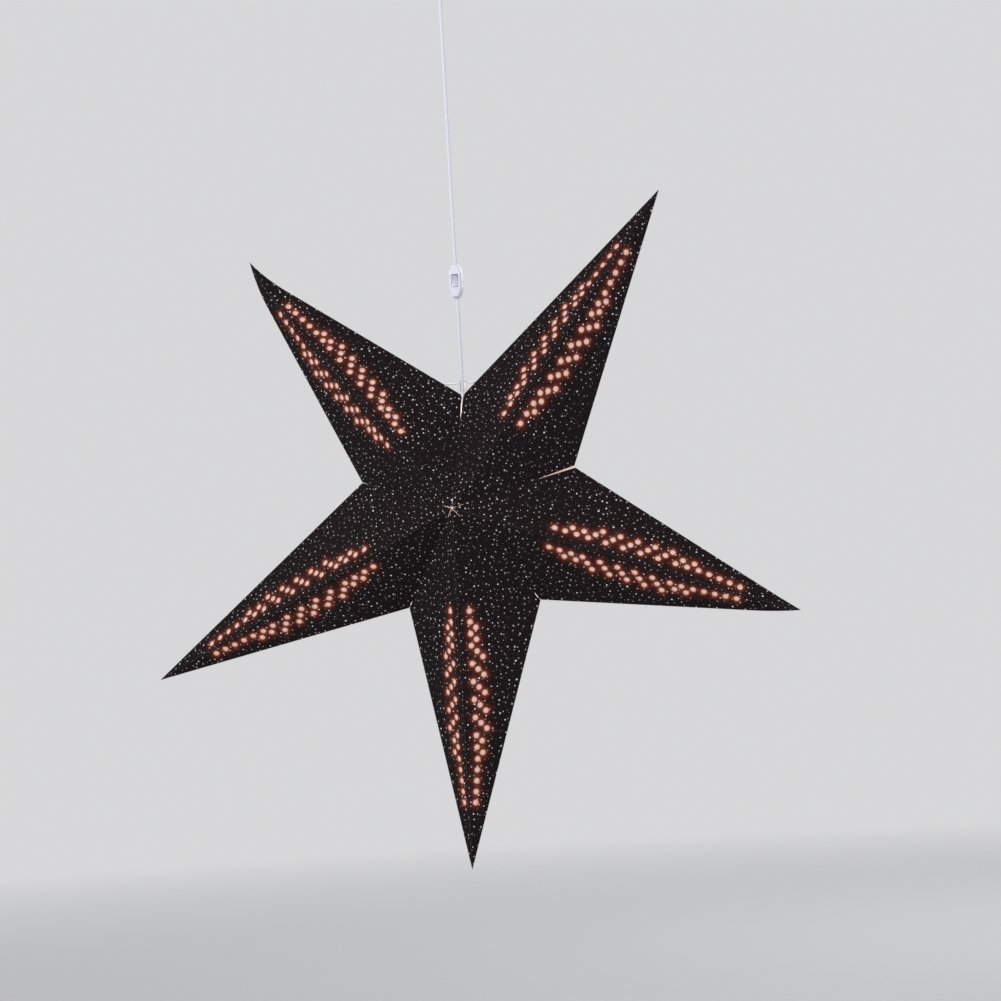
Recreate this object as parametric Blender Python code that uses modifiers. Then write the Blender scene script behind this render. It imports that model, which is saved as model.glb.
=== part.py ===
"""Hanging paper star lantern.

Five folded and punched paper points are joined round a small lampholder. The star hangs by a rod and a
clip on a white cord with an in-line switch, and the cord is held by a ceiling cup. Metres, +Z up, the
front of the star faces -Y, and the origin is the middle of the face that meets the ceiling.
"""
from math import cos, pi, radians, sin

import bmesh
import bpy
from mathutils import Matrix, Vector
from mathutils.geometry import delaunay_2d_cdt

# Small distances that many pieces share
FIT = 0.0003                # air between two pieces that seat on each other
OVERRUN = 0.002             # how far a cutter runs past the face that it opens
MERGE = 0.00001             # vertices closer than this are one
INSIDE_ONLY = 1             # the triangulation's output that stops at the outer edge

# Star, measured from its centre
CEILING_TO_STAR = 0.630
TIP_RADIUS = 0.375
VALLEY_RADIUS = 0.124
HALF_DEPTH = 0.070          # mid-plane to the front and to the back centre
POINT_NAMES = ("upper_left", "upper_right", "right", "bottom", "lower_left")
FIRST_POINT_DEG = 126.0
POINT_STEP_DEG = 72.0
POINT_LEAN_DEG = (3.9, 1.0, -2.4, -2.9, 6.1)   # how far each tip hangs off its even place
POINT_REACH_SHARES = (0.994, 1.059, 1.005, 1.025, 1.064)

# Folded sheet of one point
PAPER = 0.0006
RIDGE_SLITS = (0.0065, 0.0125, 0.0050, 0.0105, 0.0065)   # each ridge is open for so far from the centre
RIDGE_SLIT_WIDTH = 0.0010
FLAP_START = 0.012          # the glue flaps start this far from the centre
FLAP_WIDTH = 0.010
FLAP_SLANT_SHARES = (1.0, 1.6)   # run-in of the flap's ends at the centre and at the valley, in flap widths

# Seams between two points: width at the valley, and length of the stretch that isn't glued
GLUED_MOUTH = 0.0008
GLUED_OPEN = 0.008
CLOSURE_MOUTH = 0.0022
CLOSURE_OPEN = 0.028
SPRUNG_MOUTH = 0.0032
SPRUNG_OPEN = 0.048
SEAMS = (
    (CLOSURE_MOUTH, CLOSURE_OPEN),
    (SPRUNG_MOUTH, SPRUNG_OPEN),
    (GLUED_MOUTH, GLUED_OPEN),
    (GLUED_MOUTH, GLUED_OPEN),
    (GLUED_MOUTH, GLUED_OPEN),
)

# Punched band on each panel, measured along the ridge and away from it
HOLE_RADIUS = 0.0032
FRONT_HOLE_SIDES = 4
BACK_HOLE_SIDES = 3
HOLE_TURN_DEG = 20.0        # keeps the corners of neighbouring holes out of line
FIRST_ROW_SHARE = 0.284     # of the ridge's length
BAND_OFFSET = 0.0131
BAND_TAPER_SHARE = 0.336    # near the tip the band keeps this share of the panel's width
HOLE_STEP_ALONG = 0.0065
HOLE_STEP_ACROSS = 0.0061
ROW_COUNTS = (1, 2, 2, 3, 3, 3, 3, 3, 2, 2, 1, 1, 1, 1, 1)
ROW_PITCH_SHARES = {1: 0.0301, 2: 0.0327, 3: 0.0497}     # of the ridge's length, after a row of so many holes

# Translucent lining behind the punched bands
LINING = 0.0003
LINING_RIDGE_SHARES = (0.245, 0.88)
LINING_EDGE_SHARES = (0.16, 0.84)

# Hanger rod and cord clip, above the top valley
CORD_RADIUS = 0.002
CORD_HOLE_RADIUS = 0.003
CORD_HOLE_DEPTH = 0.008
ROD_RADIUS = 0.0011
ROD_LENGTH = 0.058
ROD_RISE = 0.014
ROD_HOLE_RADIUS = 0.0017
CLIP_RADIUS = 0.0036
CLIP_BOTTOM = 0.0045
CLIP_TOP = 0.0170
CLIP_MOUTH = 0.0034
CLIP_BOSS = Vector((0.0060, 0.0040, 0.0050))
CLIP_FIN = Vector((0.0030, 0.0016, 0.0090))

# Slide-on clips that close the top seam inside the star
CLOSER_LENGTH = 0.016
CLOSER_DEPTH = 0.006
CLOSER_WALL = 0.0007

# Lampholder, heights from the star's centre
HOLDER_RADIUS = 0.014
HOLDER_WALL = 0.0016
HOLDER_TOP = 0.078
HOLDER_CAP_HEIGHT = 0.020
HOLDER_DOME = 0.008
HOLDER_SKIRT_HEIGHT = 0.040
SPIGOT_HEIGHT = 0.005
GRIP_RADIUS = 0.0045
GRIP_FLANGE = 0.0062
GRIP_FLANGE_HEIGHT = 0.0030
GRIP_HEIGHT = 0.009
INSERT_TOP = 0.051
INSERT_HEIGHT = 0.010
SOCKET_RADIUS = 0.0073
SOCKET_WALL = 0.0005
SOCKET_FLANGE = 0.0092
SOCKET_FLANGE_HEIGHT = 0.0010
SOCKET_HEIGHT = 0.0175
CONTACT_RADIUS = 0.0034
CONTACT_HEIGHT = 0.0012
TERMINAL_PITCH = 0.013
TERMINAL_RADIUS = 0.0026
TERMINAL_HEAD = 0.0018
TERMINAL_SHANK = 0.0013
TERMINAL_DEPTH = 0.005

# Candle bulb
BULB_CAP_RADIUS = 0.0069
BULB_CAP_WALL = 0.0004
BULB_CAP_HEIGHT = 0.0150
THREAD_PITCH = 0.00282
THREAD_DEPTH = 0.0005
THREAD_TURNS = 3
BULB_TIP_RADIUS = 0.0024
BULB_TIP_HEIGHT = 0.0016
INSULATOR_NECK = 0.0030
INSULATOR_HEIGHT = 0.0028
GLASS_WALL = 0.0008
GLASS_NECK_DEPTH = 0.004
GLASS_LENGTH = 0.078
GLASS_RADIUS = 0.0175
GLASS_HEIGHT_SHARES = (0.0, 0.06, 0.18, 0.34, 0.50, 0.67, 0.84, 0.96)
GLASS_RADIUS_SHARES = (0.38, 0.53, 0.84, 1.0, 0.96, 0.77, 0.43, 0.14)
STEM_FLARE = 0.0044
STEM_FLARE_HEIGHT = 0.003
STEM_RADIUS = 0.0016
STEM_LENGTH = 0.018
FILAMENT_RADIUS = 0.0005
FILAMENT_SPAN = 0.012
FILAMENT_DROP = 0.022
FILAMENT_LEGS = 4

# Switch on the cord
SWITCH_HEIGHT_ABOVE_STAR = 0.248
SWITCH_LENGTH = 0.036
SWITCH_WIDTH = 0.0138
SWITCH_DEPTH = 0.012
SWITCH_NECK = 0.0060        # width of each end, where the cord goes in
SWITCH_SHOULDER = 0.0115    # length over which each end widens
SWITCH_SHOULDER_STEPS = 2
SWITCH_WALL = 0.0015
SWITCH_ROUND = 0.0014
ROCKER_LENGTH = 0.0125
ROCKER_WIDTH = 0.0068
ROCKER_HEIGHT = 0.0070
ROCKER_DISH = 0.0012
ROCKER_PROUD = 0.0014
ROCKER_TILT_DEG = 8.0       # at rest it is tipped to its on side
ROCKER_PIN_RADIUS = 0.0008
EAR = Vector((0.0012, 0.0034, 0.0040))
SWITCH_SCREW_PLACE = 0.0118
SWITCH_SCREW_HEAD = 0.0018
SWITCH_SCREW_HEAD_DEPTH = 0.0010
SWITCH_SCREW_SHANK = 0.0009
SWITCH_BOSS = 0.0019
STRIP_THICKNESS = 0.0008
STRIP_WIDTH = 0.0030
STRIP_LENGTH = 0.0070
STRIP_PLACE = 0.0050

# Cord ends
SWING_GAP = 0.0008          # room at a cord's hinged end, so that its rim can tip
CORD_POINT_STEP = 0.012
CORD_SEAT = 0.003           # how far the cord runs into the switch
TOP_CORD = 0.016            # the first stretch swings sideways, and all below it also fore and aft

# Ceiling cup
BRACKET_RADIUS = 0.026
BRACKET_THICKNESS = 0.002
TUBE_RADIUS = 0.005
TUBE_BORE = 0.0036
TUBE_BELOW_CUP = 0.0075     # the nut covers it
TUBE_WINDOW = Vector((0.0048, 0.0080, 0.0076))
TUBE_WINDOW_DROP = 0.0093
CUP_RADIUS = 0.036
CUP_HEIGHT = 0.044
CUP_WALL = 0.0018
CUP_ROUND = 0.016
NUT_RADIUS = 0.009
NUT_FLUTES = 8
NUT_FLUTE_RADIUS = 0.0009
BUSH_LENGTH = 0.012
BUSH_PROUD = 0.002
BUSH_LIP = 0.0045
SLOT_PLACE = 0.017
SLOT_LENGTH = 0.009
SLOT_WIDTH = 0.0046
SCREW_HEAD = 0.0036
SCREW_HEAD_HEIGHT = 0.0022
SCREW_SHANK = 0.0019
BLOCK_SIZE = Vector((0.018, 0.011, 0.012))
BLOCK_PLACE = 0.0165
BLOCK_BORE = 0.0015
BLOCK_PITCH = 0.009
FEED_BEND = 0.006
FEED_BEND_STEPS = 4
FEED_TAIL = 0.0032

# Faces on round pieces
ROUND_STEPS = 18
INNER_STEPS = 12
SMALL_STEPS = 8
CUP_ROUND_STEPS = 4
DOME_STEPS = 3
SWITCH_ROUND_STEPS = 2
BRACKET_STEPS = 16
SLOT_END_STEPS = 4
FLUTE_STEPS = 6
CORD_BEVEL_RESOLUTION = 2

FRONT, BACK = -1, 1
STAR_CENTRE = Vector((0, 0, -CEILING_TO_STAR))
HALF_STEP_DEG = POINT_STEP_DEG / 2
TOP_VALLEY = CEILING_TO_STAR - VALLEY_RADIUS          # depth of the top valley below the ceiling
SWITCH_CENTRE = Vector((0, 0, SWITCH_HEIGHT_ABOVE_STAR - CEILING_TO_STAR))
TUBE_LENGTH = CUP_HEIGHT + TUBE_BELOW_CUP
NUT_HEIGHT = TUBE_BELOW_CUP + FIT
BUSH_EXIT = TUBE_LENGTH + BUSH_PROUD                  # depth of the cord's exit below the ceiling
SECOND_HINGE = BUSH_EXIT + TOP_CORD + 2 * SWING_GAP
INSERT_FOOT = INSERT_TOP - INSERT_HEIGHT
SOCKET_TOP = INSERT_FOOT - FIT
CONTACT_FOOT = SOCKET_TOP - CONTACT_HEIGHT
BULB_TOP = CONTACT_FOOT - FIT
BULB_CAP_TOP = BULB_TOP - BULB_TIP_HEIGHT - INSULATOR_HEIGHT
BULB_CAP_FOOT = BULB_CAP_TOP - BULB_CAP_HEIGHT
GLASS_TOP = BULB_CAP_FOOT + GLASS_NECK_DEPTH


def clear_scene():
    for thing in list(bpy.data.objects):
        bpy.data.objects.remove(thing, do_unlink=True)


def new_collection(name):
    group = bpy.data.collections.new(name)
    bpy.context.scene.collection.children.link(group)
    return group


def finish(name, colour, roughness, metallic=0.0, alpha=1.0):
    material = bpy.data.materials.new(name)
    material.use_nodes = True
    shader = material.node_tree.nodes["Principled BSDF"]
    shader.inputs["Base Color"].default_value = (*colour, 1.0)
    shader.inputs["Roughness"].default_value = roughness
    shader.inputs["Metallic"].default_value = metallic
    shader.inputs["Alpha"].default_value = alpha
    return material


class Model:
    """The two collections, the finishes and the axes that pieces hang on."""

    def __init__(self):
        clear_scene()
        self.parts = new_collection("paper_star_lantern")
        self.cutters = new_collection("cutters")
        self.finishes = {}
        self.axes = {}
        self.places = {}

    def axis(self, name, place, above=None):
        empty = bpy.data.objects.new(name, None)
        self.parts.objects.link(empty)
        self.axes[name] = empty
        self.places[name] = place
        if above:
            empty.parent = self.axes[above]
        empty.location = place - (self.places[above] if above else Vector())

    def add(self, name, data, finish_name, place, axis):
        piece = bpy.data.objects.new(name, data)
        data.materials.append(self.finishes[finish_name])
        self.parts.objects.link(piece)
        piece.parent = self.axes[axis]
        piece.location = place - self.places[axis]
        return piece

    def cutter(self, name, mesh, place=None):
        tool = bpy.data.objects.new(name, mesh)
        self.cutters.objects.link(tool)
        tool.location = place or Vector()
        tool.hide_render = True
        tool.display_type = "WIRE"
        return tool


def join(piece, tool, operation):
    step = piece.modifiers.new(tool.name, "BOOLEAN")
    step.operation = operation
    step.object = tool
    step.solver = "EXACT"


def cut(piece, tool):
    join(piece, tool, "DIFFERENCE")


def fuse(piece, tool):
    join(piece, tool, "UNION")


def to_mesh(name, shape):
    mesh = bpy.data.meshes.new(name)
    shape.to_mesh(mesh)
    shape.free()
    return mesh


def box_mesh(name, size, centre=None, bevel=0.0):
    shape = bmesh.new()
    bmesh.ops.create_cube(shape, size=1)
    bmesh.ops.scale(shape, vec=size, verts=shape.verts)
    if bevel:
        bmesh.ops.bevel(
            shape, geom=shape.edges, offset=bevel, segments=2, profile=0.5, affect="EDGES", material=-1)
    bmesh.ops.translate(shape, vec=centre or Vector(), verts=shape.verts)
    return to_mesh(name, shape)


def rod_mesh(name, radius, length, centre, along="Z", steps=SMALL_STEPS):
    shape = bmesh.new()
    bmesh.ops.create_cone(
        shape, cap_ends=True, segments=steps, radius1=radius, radius2=radius, depth=length)
    if along != "Z":
        bmesh.ops.rotate(shape, matrix=Matrix.Rotation(pi / 2, 3, "YX"["XY".index(along)]), verts=shape.verts)
    bmesh.ops.translate(shape, vec=centre, verts=shape.verts)
    return to_mesh(name, shape)


def outline_mesh(name, outline, closed=True):
    """Edges only, in the XZ plane, for a Screw modifier to turn."""
    mesh = bpy.data.meshes.new(name)
    points = [(radius, 0, height) for radius, height in outline]
    edges = [(i, i + 1) for i in range(len(points) - 1)]
    if closed:
        edges.append((len(points) - 1, 0))
    mesh.from_pydata(points, edges, [])
    return mesh


def turn(piece, steps=ROUND_STEPS):
    screw = piece.modifiers.new("turned", "SCREW")
    screw.steps = steps
    screw.render_steps = steps
    screw.use_merge_vertices = True
    screw.merge_threshold = MERGE
    screw.use_smooth_shade = True


def arc(centre_radius, centre_height, radius, start_deg, end_deg, steps):
    """Points of a round stretch of a turned outline."""
    angles = [radians(start_deg + (end_deg - start_deg) * i / steps) for i in range(steps + 1)]
    return [(centre_radius + radius * cos(a), centre_height + radius * sin(a)) for a in angles]


def curve_mesh(curve):
    """Makes a curve a welded mesh and removes the curve."""
    holder = bpy.data.objects.new(curve.name, curve)
    bpy.context.scene.collection.objects.link(holder)
    graph = bpy.context.evaluated_depsgraph_get()
    mesh = bpy.data.meshes.new_from_object(holder.evaluated_get(graph))
    bpy.data.objects.remove(holder)
    bpy.data.curves.remove(curve)
    shape = bmesh.new()
    shape.from_mesh(mesh)
    bmesh.ops.remove_doubles(shape, verts=shape.verts, dist=MERGE)
    shape.to_mesh(mesh)
    shape.free()
    return mesh


def plate_mesh(name, outline, thickness):
    """A flat plate, centred on its own plane."""
    curve = bpy.data.curves.new(name, "CURVE")
    curve.dimensions = "2D"
    curve.fill_mode = "BOTH"
    curve.extrude = thickness / 2
    spline = curve.splines.new("POLY")
    spline.points.add(len(outline) - 1)
    for point, (x, y) in zip(spline.points, outline):
        point.co = (x, y, 0, 1)
    spline.use_cyclic_u = True
    return curve_mesh(curve)


def sheet_mesh(name, outlines):
    """A flat sheet without thickness: the first outline is its edge and the others are holes."""
    corners = [Vector(corner) for outline in outlines for corner in outline]
    owners = [index for index, outline in enumerate(outlines) for _ in outline]
    edges = []
    for outline in outlines:
        first = len(edges)
        edges += [(first + i, first + (i + 1) % len(outline)) for i in range(len(outline))]
    corners, _, faces, *_ = delaunay_2d_cdt(corners, edges, [], INSIDE_ONLY, MERGE)
    faces = [face for face in faces if not owners[face[0]] or len({owners[i] for i in face}) > 1]
    mesh = bpy.data.meshes.new(name)
    mesh.from_pydata([corner.to_3d() for corner in corners], [], faces)
    return mesh


def circle(centre, radius, sides, start_deg=0.0):
    angles = [radians(start_deg) + 2 * pi * i / sides for i in range(sides)]
    return [(centre[0] + radius * cos(a), centre[1] + radius * sin(a)) for a in angles]


def stadium(length, width, steps):
    """An upright oblong with round ends."""
    radius = width / 2
    straight = length / 2 - radius
    turns = [pi * i / steps for i in range(steps + 1)]
    upper = [(radius * cos(turn), straight + radius * sin(turn)) for turn in turns]
    return upper + [(-x, -y) for x, y in upper]


def heading(degrees):
    return Vector((cos(radians(degrees)), 0, sin(radians(degrees))))


class PointShape:
    """Corners, folds and planes of one paper point, measured from the star's centre.

    Hand 0 is the side towards the seam before this point and hand 1 the side towards its own seam,
    going clockwise as seen from the front.
    """

    def __init__(self, index):
        self.name = POINT_NAMES[index]
        self.ridge_slit = RIDGE_SLITS[index]
        self.seams = (SEAMS[index - 1], SEAMS[index])
        middle = FIRST_POINT_DEG - index * POINT_STEP_DEG
        set_off = heading(middle) * (FIT / 2 / sin(radians(HALF_STEP_DEG)))
        self.tip = heading(middle + POINT_LEAN_DEG[index]) * TIP_RADIUS * POINT_REACH_SHARES[index]
        self.seam_turns = (middle + HALF_STEP_DEG, middle - HALF_STEP_DEG)
        self.valleys = [set_off + heading(turn) * VALLEY_RADIUS for turn in self.seam_turns]
        self.hubs = {side: set_off + Vector((0, side * HALF_DEPTH, 0)) for side in (FRONT, BACK)}
        self.inwards = [heading(middle).cross(heading(turn)).cross(heading(turn)).normalized()
                        for turn in self.seam_turns]
        self.inwards = [v if v.dot(heading(middle)) > 0 else -v for v in self.inwards]

    def panel_plane(self, side, hand):
        """Axes of a panel: along the ridge from the centre, across it towards the valley, and out."""
        hub = self.hubs[side]
        along = (self.tip - hub).normalized()
        across = self.valleys[hand] - hub
        across = (across - along * across.dot(along)).normalized()
        return hub, along, across

    def panel_matrix(self, side, hand):
        hub, along, across = self.panel_plane(side, hand)
        return Matrix((along, across, along.cross(across))).transposed().to_4x4(), hub

    def mouth_corner(self, hand):
        """The valley corner, drawn back along the outer fold until the seam has its width there."""
        valley = self.valleys[hand]
        edge = (self.tip - valley).normalized()
        mouth, _ = self.seams[hand]
        return valley + edge * ((mouth - FIT) / 2 / edge.dot(self.inwards[hand]))

    def seam_ends(self, side, hand):
        """Where the glued part of a seam starts near the centre and ends near the valley."""
        run = (self.valleys[hand] - self.hubs[side])
        _, open_length = self.seams[hand]
        start = self.hubs[side] + run.normalized() * FLAP_START
        end = self.valleys[hand] - run.normalized() * open_length
        return start, end

    def panel_outline(self, side, hand):
        """Round a flat panel: ridge from its slit to the tip, the valley, the seam and back to the slit."""
        hub, along, across = self.panel_plane(side, hand)
        start, end = self.seam_ends(side, hand)
        seam = self.valleys[hand] - hub
        slit_side = seam * (RIDGE_SLIT_WIDTH / 2 / seam.dot(across))
        corners = [
            hub + along * self.ridge_slit, self.tip, self.mouth_corner(hand), end, start, hub + slit_side]
        return [((c - hub).dot(along), (c - hub).dot(across)) for c in corners]

    def flap_outline(self, side, hand):
        """The glue flap in the plane of its seam, measured from the seam's start along and into the star."""
        start, end = self.seam_ends(side, hand)
        along = (end - start).normalized()
        into = along.cross(self.inwards[hand])
        into = into if into.y * side < 0 else -into
        length = (end - start).length
        near, far = (share * FLAP_WIDTH for share in FLAP_SLANT_SHARES)
        outline = [(0, 0), (length, 0), (length - far, FLAP_WIDTH), (near, FLAP_WIDTH)]
        return outline, start, along, into

    def inset(self, distance):
        """The shift that moves all four panels inwards by one distance."""
        normals = []
        for hand in (0, 1):
            _, along, across = self.panel_plane(FRONT, hand)
            out = along.cross(across)
            normals.append(out if out.y < 0 else -out)
        across = Matrix(((normals[0].x, normals[0].z), (normals[1].x, normals[1].z)))
        shift = across.inverted() @ Vector((-distance, -distance))
        return Vector((shift.x, 0, shift.y))


def punched_band(outline, sides):
    """Holes of one panel: rows that slant from the ridge towards the tip."""
    length = outline[1][0]
    valley_along, valley_across = outline[2]
    holes = []
    along = FIRST_ROW_SHARE * length
    for count in ROW_COUNTS:
        width = valley_across * (length - along) / (length - valley_along)
        inner = min(BAND_OFFSET, BAND_TAPER_SHARE * width)
        for place in range(count):
            centre = (along + place * HOLE_STEP_ALONG, inner + place * HOLE_STEP_ACROSS)
            holes.append(circle(centre, HOLE_RADIUS, sides, HOLE_TURN_DEG))
        along += ROW_PITCH_SHARES[count] * length
    return holes


def lay(sheet, mesh, matrix, origin):
    """Adds a flat mesh to a sheet, laid on its plane."""
    mesh.transform(Matrix.Translation(origin) @ matrix)
    sheet.from_mesh(mesh)
    bpy.data.meshes.remove(mesh)


def face_outwards(sheet):
    bmesh.ops.recalc_face_normals(sheet, faces=sheet.faces)
    foremost = min(sheet.faces, key=lambda face: face.calc_center_median().y)
    if foremost.normal.y > 0:
        bmesh.ops.reverse_faces(sheet, faces=sheet.faces)


def paper_sheet(model, shape):
    """One sheet folded into four punched panels, with a glue flap on each of its four seams."""
    sheet = bmesh.new()
    for side, hole_sides in ((FRONT, FRONT_HOLE_SIDES), (BACK, BACK_HOLE_SIDES)):
        for hand in (0, 1):
            outline = shape.panel_outline(side, hand)
            matrix, hub = shape.panel_matrix(side, hand)
            panel = sheet_mesh("panel", [outline] + punched_band(outline, hole_sides))
            lay(sheet, panel, matrix, hub)
            outline, start, along, into = shape.flap_outline(side, hand)
            matrix = Matrix((along, into, along.cross(into))).transposed().to_4x4()
            lay(sheet, sheet_mesh("flap", [outline]), matrix, start)
    bmesh.ops.remove_doubles(sheet, verts=sheet.verts, dist=MERGE)
    face_outwards(sheet)
    name = shape.name + "_point"
    piece = model.add(name, to_mesh(name, sheet), "black_paper", STAR_CENTRE, "star_turn")
    thicken(piece, PAPER)
    return piece


def thicken(piece, thickness):
    shell = piece.modifiers.new("thickness", "SOLIDIFY")
    shell.thickness = thickness
    shell.offset = -1.0
    shell.use_even_offset = True


def lining_sleeve(model, shape):
    """A sleeve of translucent paper glued inside the point, behind its holes."""
    inset = shape.inset(PAPER + FIT)
    sleeve = bmesh.new()
    rings = []
    for ridge_share, edge_share in zip(LINING_RIDGE_SHARES, LINING_EDGE_SHARES):
        starts = (shape.hubs[FRONT], shape.valleys[1], shape.hubs[BACK], shape.valleys[0])
        shares = (ridge_share, edge_share, ridge_share, edge_share)
        ring = [sleeve.verts.new(s.lerp(shape.tip, share) + inset) for s, share in zip(starts, shares)]
        rings += [sleeve.edges.new((ring[i - 1], ring[i])) for i in range(len(ring))]
    bmesh.ops.bridge_loops(sleeve, edges=rings)
    face_outwards(sleeve)
    name = shape.name + "_lining"
    piece = model.add(name, to_mesh(name, sleeve), "lining_paper", STAR_CENTRE, "star_turn")
    thicken(piece, LINING)


def paper_star(model):
    shapes = [PointShape(index) for index in range(len(POINT_NAMES))]
    sheets = [paper_sheet(model, shape) for shape in shapes]
    for shape in shapes:
        lining_sleeve(model, shape)
    cord_hole = model.cutter("cord_hole", rod_mesh(
        "cord_hole", CORD_HOLE_RADIUS, CORD_HOLE_DEPTH * 2, STAR_CENTRE + Vector((0, 0, VALLEY_RADIUS))))
    cord_hole.rotation_euler.z = pi / SMALL_STEPS      # its flats meet the outer folds, not its corners
    rod_hole = model.cutter("rod_hole", rod_mesh(
        "rod_hole", ROD_HOLE_RADIUS, ROD_LENGTH + OVERRUN, rod_centre(), along="X"))
    for sheet in sheets[:2]:
        cut(sheet, cord_hole)
        cut(sheet, rod_hole)
    seam_closers(model, shapes[0])


def rod_centre():
    behind_cord = CORD_RADIUS + FIT + ROD_RADIUS
    return Vector((0, behind_cord, ROD_RISE - TOP_VALLEY))


def seam_closers(model, shape):
    """Two slide-on clips that hold the flaps of the top seam together, front and back."""
    slot = 2 * PAPER + 3 * FIT
    for side, name in ((FRONT, "front_closing_clip"), (BACK, "back_closing_clip")):
        outline, start, along, into = shape.flap_outline(side, 1)
        near, far = outline[3][0], outline[2][0]
        rim = FLAP_WIDTH + FIT
        middle = start + along * ((near + far) / 2) + into * (rim + CLOSER_WALL - CLOSER_DEPTH / 2)
        middle.x = 0
        matrix = Matrix((Vector((1, 0, 0)), into, Vector((1, 0, 0)).cross(into))).transposed()
        body = box_mesh(name, Vector((slot + 2 * CLOSER_WALL, CLOSER_DEPTH, CLOSER_LENGTH)))
        body.transform(matrix.to_4x4())
        clip = model.add(name, body, "clear_plastic", STAR_CENTRE + middle, "star_turn")
        groove = box_mesh(
            name + "_groove", Vector((slot, CLOSER_DEPTH, CLOSER_LENGTH + OVERRUN)),
            Vector((0, -CLOSER_WALL, 0)))
        groove.transform(matrix.to_4x4())
        cut(clip, model.cutter(name + "_groove", groove, STAR_CENTRE + middle))


def hanger(model):
    """The rod that carries the star by its top edges, and the clip that holds the rod on the cord."""
    place = rod_centre()
    rod = rod_mesh("hanger_rod", ROD_RADIUS, ROD_LENGTH, Vector(), along="X")
    model.add("hanger_rod", rod, "white_metal", place, "star_turn")

    height = CLIP_TOP - CLIP_BOTTOM
    middle = Vector((0, 0, (CLIP_TOP + CLIP_BOTTOM) / 2 - TOP_VALLEY))
    collar = rod_mesh("cord_clip", CLIP_RADIUS, height, Vector(), steps=ROUND_STEPS)
    clip = model.add("cord_clip", collar, "clear_plastic", middle, "star_turn")
    boss = box_mesh("clip_boss", CLIP_BOSS, place)
    fuse(clip, model.cutter("clip_boss", boss))
    fin_centre = middle + Vector((CLIP_RADIUS, 0, (CLIP_FIN.z - height) / 2))
    fuse(clip, model.cutter("clip_fin", box_mesh("clip_fin", CLIP_FIN, fin_centre)))
    bore = rod_mesh("clip_bore", CORD_RADIUS + FIT, height + OVERRUN, middle)
    cut(clip, model.cutter("clip_bore", bore))
    eye = rod_mesh("clip_eye", ROD_RADIUS + FIT, CLIP_BOSS.x + OVERRUN, place, along="X")
    cut(clip, model.cutter("clip_eye", eye))
    mouth = box_mesh(
        "clip_mouth", Vector((CLIP_MOUTH, CLIP_RADIUS, height + OVERRUN)),
        middle - Vector((0, CLIP_RADIUS / 2 + CORD_RADIUS / 2, 0)))
    cut(clip, model.cutter("clip_mouth", mouth))


def turned_piece(model, name, outline, finish_name, place, axis, steps=ROUND_STEPS, closed=True):
    piece = model.add(name, outline_mesh(name, outline, closed), finish_name, place, axis)
    turn(piece, steps)
    return piece


def holder_cap(model):
    foot = HOLDER_TOP - HOLDER_CAP_HEIGHT
    shoulder = HOLDER_RADIUS - HOLDER_DOME
    inner = HOLDER_RADIUS - HOLDER_WALL
    outline = [(GRIP_RADIUS + FIT, HOLDER_TOP)]
    outline += arc(shoulder, HOLDER_TOP - HOLDER_DOME, HOLDER_DOME, 90, 0, DOME_STEPS)
    outline += [(HOLDER_RADIUS, foot), (inner, foot)]
    outline += arc(shoulder, HOLDER_TOP - HOLDER_DOME, HOLDER_DOME - HOLDER_WALL, 0, 90, DOME_STEPS)
    outline += [(GRIP_RADIUS + FIT, HOLDER_TOP - HOLDER_WALL)]
    turned_piece(model, "holder_cap", outline, "white_plastic", STAR_CENTRE, "star_turn", INNER_STEPS)


def holder_skirt(model):
    top = HOLDER_TOP - HOLDER_CAP_HEIGHT - FIT
    foot = top - HOLDER_SKIRT_HEIGHT
    inner = HOLDER_RADIUS - HOLDER_WALL
    spigot = inner - FIT
    outline = [
        (spigot, top + SPIGOT_HEIGHT),
        (spigot, top),
        (HOLDER_RADIUS, top),
        (HOLDER_RADIUS, foot),
        (inner, foot),
        (inner, top - HOLDER_WALL),
        (spigot - HOLDER_WALL / 2, top - HOLDER_WALL),
        (spigot - HOLDER_WALL / 2, top + SPIGOT_HEIGHT),
    ]
    turned_piece(model, "holder_skirt", outline, "white_plastic", STAR_CENTRE, "star_turn", INNER_STEPS)


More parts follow.
